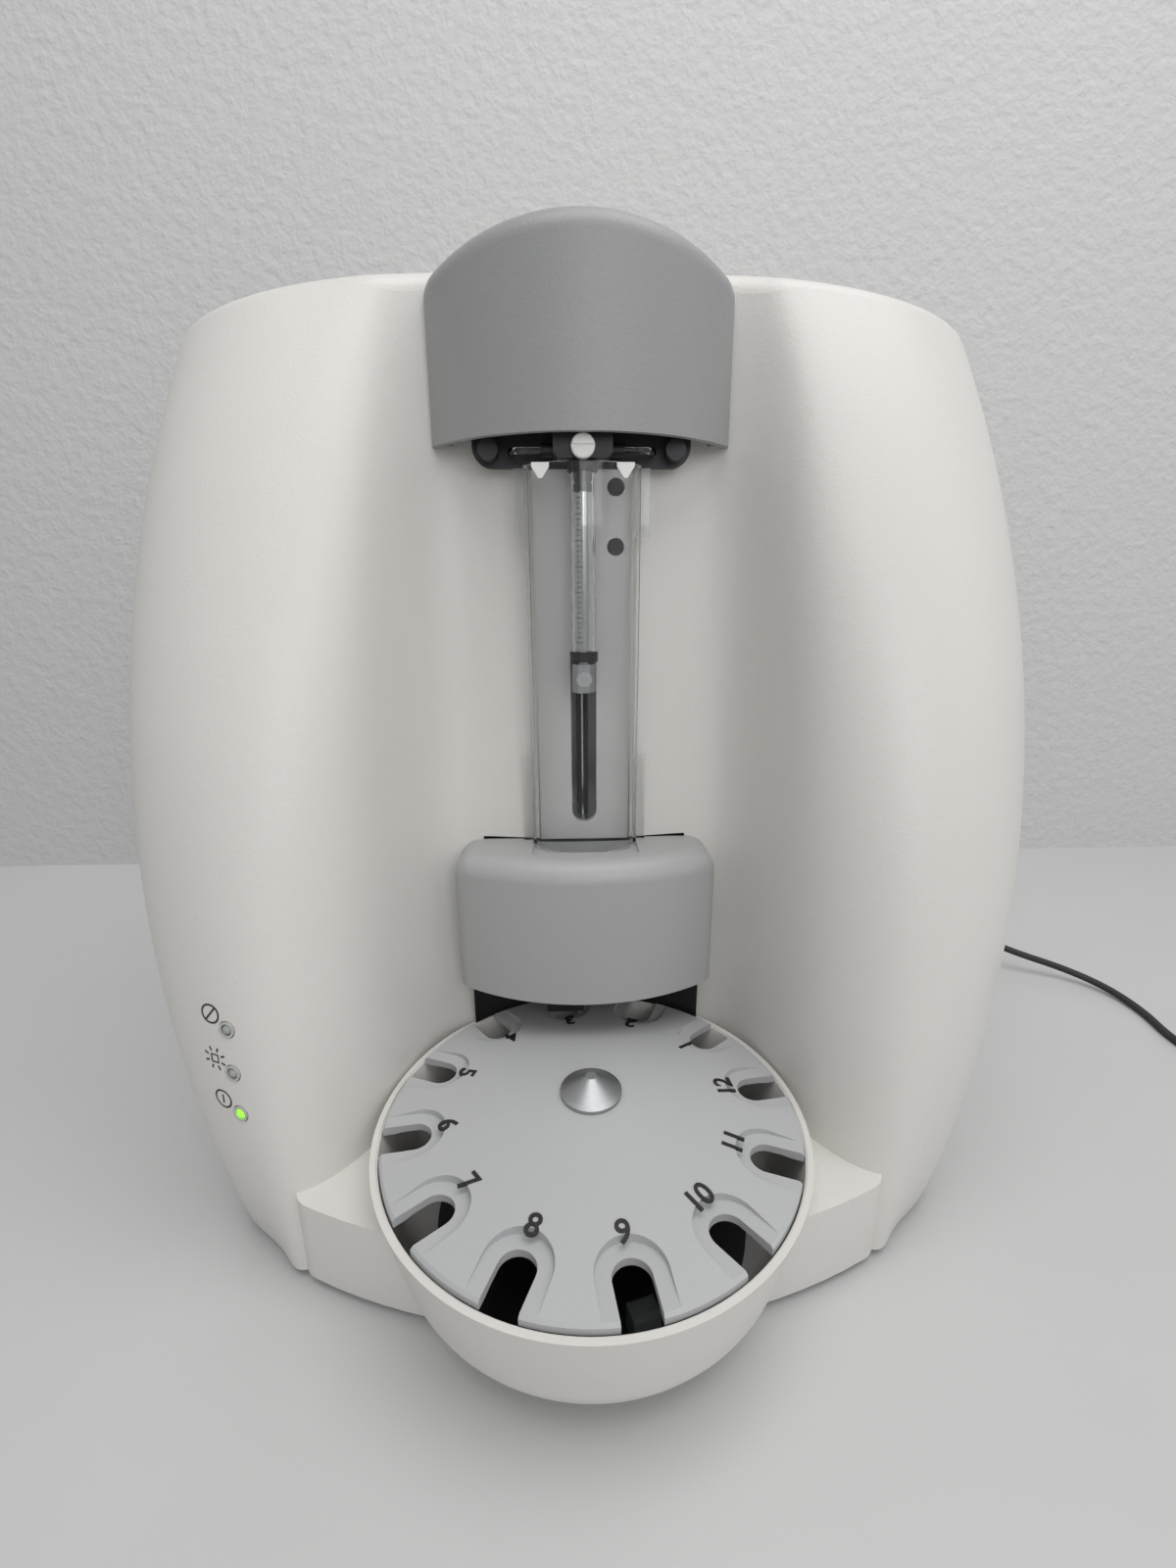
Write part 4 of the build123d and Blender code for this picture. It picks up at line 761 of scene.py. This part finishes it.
class COUNTER_OT_lead(bpy.types.Operator):
    """Lay the data lead from its socket to the coil of its spare length"""
    bl_idname = "counter.lead"
    bl_label = "Lead"

    def execute(self, context):
        sizes = context.scene.counter_lead
        points = LEAD_ROUTE + self.coil(sizes) + PLUG_ROUTE
        curve = bpy.data.curves.new("data_lead", "CURVE")
        curve.dimensions = "3D"
        curve.bevel_depth = sizes.diameter / 2
        curve.bevel_resolution = 5
        curve.use_fill_caps = True
        spline = curve.splines.new("NURBS")
        spline.points.add(len(points) - 1)
        for point, place in zip(spline.points, points):
            point.co = (*place, 1.0)
        spline.order_u = 3
        spline.use_endpoint_u = True
        spline.resolution_u = 8
        curve.materials.append(finish("lead_jacket"))
        lead = bpy.data.objects.new("data_lead", curve)
        context.scene.collection.objects.link(lead)
        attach(lead, "housing")
        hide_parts("lead_tube", "lead_coil")
        dress("lead_jacket")
        return {"FINISHED"}

    def coil(self, sizes):
        """Turns beside and on each other, a diameter apart, that leave at the right."""
        step = sizes.diameter + COIL_GAP
        inner = sizes.turn_radius - step
        layers = [(2, 0), (1, 0), (0, 0), (0, 1), (1, 1), (2, 1), (1, 2), (2, 2)]
        rest = [(inner + across * step, COIL_REST + up * step) for across, up in layers]
        start = math.radians(COIL_START)
        end = math.radians(360.0 * len(layers))
        count = COIL_POINTS * len(layers)
        points = []
        for index in range(count + 1):
            turn = start + (end - start) * index / count
            whole = min(int(turn / (2 * math.pi)), len(layers) - 1)
            share = turn / (2 * math.pi) - whole
            before = rest[whole]
            after = rest[min(whole + 1, len(layers) - 1)]
            blend = max(0.0, min(1.0, (share - 1.0 + COIL_STEP) / COIL_STEP))
            radius = before[0] + (after[0] - before[0]) * blend
            height = before[1] + (after[1] - before[1]) * blend
            points.append((
                COIL_CENTRE[0] + radius * math.cos(turn),
                COIL_CENTRE[1] + radius * math.sin(turn), height))
        return points


# ---------------------------------------------------------------- finishes of each group
class COUNTER_OT_housing(bpy.types.Operator):
    """Finish the housing, the tray and the grey covers"""
    bl_idname = "counter.housing"
    bl_label = "Housing"

    def execute(self, context):
        dress("moulding", "cover_grey", "cover_light", "black_rubber", "black_moulding")
        return {"FINISHED"}


class COUNTER_OT_carousel(bpy.types.Operator):
    """Finish the carousel and set its numbers"""
    bl_idname = "counter.carousel"
    bl_label = "Carousel"

    # The cups, the one at the front at rest, and a digit's height as a share of its type size.
    cups = 12
    front_cup = 9
    digit_share = 0.72

    def execute(self, context):
        dress("disc_grey", "turned_alloy", "sensor_block")
        sizes = context.scene.counter_numbers
        low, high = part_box("carousel_knob")
        axis = Vector(((low.x + high.x) / 2, (low.y + high.y) / 2, 0.0))
        tree = surface_of("carousel_disc")
        shape = bmesh.new()
        for number in range(1, self.cups + 1):
            turn = sizes.phase + math.radians(360.0 / self.cups * (number - self.front_cup))
            out = Vector((math.sin(turn), -math.cos(turn), 0.0))
            place = axis + out * sizes.ring_radius + Vector((0.0, 0.0, RAY_STEP))
            hit, normal = meet(tree, place, Vector((0.0, 0.0, -1.0)), "a number")
            up = (-out - normal * -out.dot(normal)).normalized()
            turned = Matrix((up.cross(normal), up, normal)).transposed().to_4x4()
            self.add_number(shape, str(number), Matrix.Translation(hit) @ turned, sizes)
        bmesh_piece("carousel_numbers", shape, "carousel", "black_moulding", False)
        return {"FINISHED"}

    def add_number(self, shape, text, place, sizes):
        """Add one raised number, centred on its place."""
        curve = bpy.data.curves.new("number", "FONT")
        curve.body = text
        curve.align_x = "CENTER"
        curve.align_y = "CENTER"
        curve.size = sizes.height / self.digit_share
        curve.extrude = sizes.relief
        curve.offset = sizes.weight
        curve.resolution_u = 6
        curve.space_character = 0.95
        holder = bpy.data.objects.new("number", curve)
        bpy.context.scene.collection.objects.link(holder)
        bpy.context.view_layer.update()
        graph = bpy.context.evaluated_depsgraph_get()
        mesh = bpy.data.meshes.new_from_object(holder.evaluated_get(graph))
        mesh.transform(place)
        shape.from_mesh(mesh)
        bpy.data.objects.remove(holder)
        bpy.data.meshes.remove(mesh)


class COUNTER_OT_syringe(bpy.types.Operator):
    """Finish the syringe pump, its plate and its guard"""
    bl_idname = "counter.syringe"
    bl_label = "Syringe Pump"

    def execute(self, context):
        dress("satin_plate", "dark_plate", "clear_acrylic", "clear_glass", "bright_steel", "white_nylon",
              "soft_tubing")
        self.guard_clips(context.scene.counter_syringe)
        self.graduations(context.scene.counter_syringe)
        return {"FINISHED"}

    def guard_clips(self, sizes):
        """Two white wedges behind the guard's front wall, at its top."""
        low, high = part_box("clear_guard")
        face = low.y + sizes.guard_wall
        middle = (low.x + high.x) / 2
        top = high.z - 0.4 * MM
        shoulder = top - 1.6 * MM
        foot = top - sizes.clip_height
        half, tip, depth = 3.4 * MM, 0.7 * MM, 2.0 * MM
        shape = bmesh.new()
        for side in (-1, 1):
            x = middle + side * sizes.clip_reach
            outline = [(x - half, top), (x - half, shoulder), (x - tip, foot), (x + tip, foot),
                       (x + half, shoulder), (x + half, top)]
            add_prism(shape, outline, face, face + depth)
        bmesh_piece("guard_clips", shape, "housing", "white_nylon", False)

    def graduations(self, sizes):
        """Printed marks on the glass barrel: a long one every ten, a short one every two millimetres."""
        low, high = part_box("syringe_barrel")
        axis = (low + high) / 2
        radius = (high.x - low.x) / 2
        first, spacing, facing, bends = 4.0, 2.0, -112.0, 6
        inner, outer = radius + 0.01 * MM, radius + 0.06 * MM
        corners = [(inner, 0.0), (outer, 0.0), (outer, sizes.mark), (inner, sizes.mark)]
        shape = bmesh.new()
        for index in range(int((high.z - low.z) / MM / spacing) - 3):
            spread = 34.0 if index % 5 == 0 else 19.0
            foot = Vector((axis.x, axis.y, low.z + (first + spacing * index) * MM))
            rows = []
            for bend in range(bends + 1):
                turn = math.radians(facing + spread * (bend / bends - 0.5))
                way = Vector((math.cos(turn), math.sin(turn), 0.0))
                points = [foot + way * reach + Vector((0.0, 0.0, lift)) for reach, lift in corners]
                rows.append([shape.verts.new(point) for point in points])
            for row, beyond in zip(rows, rows[1:]):
                for edge in range(4):
                    after = (edge + 1) % 4
                    shape.faces.new((row[edge], beyond[edge], beyond[after], row[after]))
            shape.faces.new(rows[0])
            shape.faces.new(reversed(rows[-1]))
        bmesh_piece("barrel_marks", shape, "housing", "black_moulding", False)


class COUNTER_OT_lamps(bpy.types.Operator):
    """Finish the status lamps and draw a symbol beside each"""
    bl_idname = "counter.lamps"
    bl_label = "Status Lamps"

    # Where each symbol's middle stands, across and up, in millimetres, and how proud its lines are.
    symbols = ((-140.6, 113.6), (-140.9, 95.4), (-139.8, 78.2))
    ink = 0.08 * MM

    def execute(self, context):
        dress("lamp_bezel", "lamp_lens")
        sizes = context.scene.counter_lamps
        tree = surface_of("front_shell")
        shape = bmesh.new()
        for draw, (x, z) in zip((self.slashed, self.shining, self.barred), self.symbols):
            centre = Vector((x * MM, -RAY_STEP, z * MM))
            for points in draw(centre, sizes.ring):
                add_ribbon(shape, tree, points, sizes.line, self.ink, Vector((0.0, 1.0, 0.0)))
        bmesh_piece("lamp_symbols", shape, "housing", "black_moulding", False)
        return {"FINISHED"}

    def slashed(self, centre, radius):
        """A ring with a slanted bar."""
        tip = Vector((math.cos(math.radians(50)), 0.0, math.sin(math.radians(50)))) * radius
        return [ring_points(centre, radius), line_points(centre - tip, centre + tip)]

    def shining(self, centre, radius):
        """A small lamp with rays."""
        half = radius * 0.42
        corners = [(-half, -half), (half, -half), (half, half), (-half, half), (-half, -half)]
        lines = [[centre + Vector((x, 0.0, z)) for x, z in corners]]
        for index in range(8):
            turn = math.radians(45.0 * index + 22.5)
            ray = Vector((math.cos(turn), 0.0, math.sin(turn)))
            lines.append(line_points(centre + ray * radius * 0.85, centre + ray * radius * 1.35, 2))
        return lines

    def barred(self, centre, radius):
        """A ring with an upright bar."""
        bar = Vector((0.0, 0.0, radius * 0.5))
        return [ring_points(centre, radius), line_points(centre - bar, centre + bar)]


class COUNTER_OT_inside(bpy.types.Operator):
    """Finish what the housing holds and the rear panel"""
    bl_idname = "counter.inside"
    bl_label = "Inside and Back"

    def execute(self, context):
        dress("zinc_sheet", "circuit_board")
        self.panel_screws()
        return {"FINISHED"}

    def panel_screws(self):
        """Button-head screws round the edge of the rear panel's floor."""
        low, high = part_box("rear_panel")
        tree = surface_of("rear_panel")
        profile = [(3.0, -0.3), (3.0, 0.2), (2.6, 1.0), (1.7, 1.5), (1.25, 1.5), (1.25, 0.4)]
        inset = 16.0 * MM
        upright = Matrix.Rotation(math.radians(-90), 4, "X")
        shape = bmesh.new()
        for x in (low.x + inset, high.x - inset):
            for z in (low.z + inset, (low.z + high.z) / 2, high.z - inset):
                start = Vector((x, RAY_STEP * 2, z))
                hit = meet(tree, start, Vector((0.0, -1.0, 0.0)), "a screw")[0]
                add_lathe(shape, Matrix.Translation(hit) @ upright, profile)
        bmesh_piece("panel_screws", shape, "housing", "bright_steel")


# ---------------------------------------------------------------- panel and registration
OPERATORS = (
    COUNTER_OT_stage, COUNTER_OT_lead, COUNTER_OT_housing, COUNTER_OT_carousel, COUNTER_OT_syringe,
    COUNTER_OT_lamps, COUNTER_OT_inside,
)
GROUPS = {
    "counter_stage": CounterStage,
    "counter_moulding": CounterMoulding,
    "counter_numbers": CounterNumbers,
    "counter_syringe": CounterSyringe,
    "counter_lamps": CounterLamps,
    "counter_lead": CounterLead,
}


class COUNTER_PT_panel(bpy.types.Panel):
    """Lists the counter's steps and sizes"""
    bl_label = "Cell Counter"
    bl_idname = "COUNTER_PT_panel"
    bl_space_type = "VIEW_3D"
    bl_region_type = "UI"
    bl_category = "Counter"

    def draw(self, context):
        for operator in OPERATORS:
            self.layout.operator(operator.bl_idname)
        for name, group in GROUPS.items():
            box = self.layout.box()
            for key in group.__annotations__:
                box.prop(getattr(context.scene, name), key)


def register():
    """Register every class and the sizes that the scene holds."""
    for group in GROUPS.values():
        bpy.utils.register_class(group)
    for operator in OPERATORS:
        bpy.utils.register_class(operator)
    bpy.utils.register_class(COUNTER_PT_panel)
    for name, group in GROUPS.items():
        setattr(bpy.types.Scene, name, bpy.props.PointerProperty(type=group))


def unregister():
    """Undo register."""
    for name in GROUPS:
        delattr(bpy.types.Scene, name)
    bpy.utils.unregister_class(COUNTER_PT_panel)
    for operator in reversed(OPERATORS):
        bpy.utils.unregister_class(operator)
    for group in reversed(list(GROUPS.values())):
        bpy.utils.unregister_class(group)


def main():
    """Dress the counter step by step."""
    register()
    for operator in OPERATORS:
        section, step = operator.bl_idname.split(".")
        getattr(getattr(bpy.ops, section), step)()


if __name__ == "__main__":
    main()
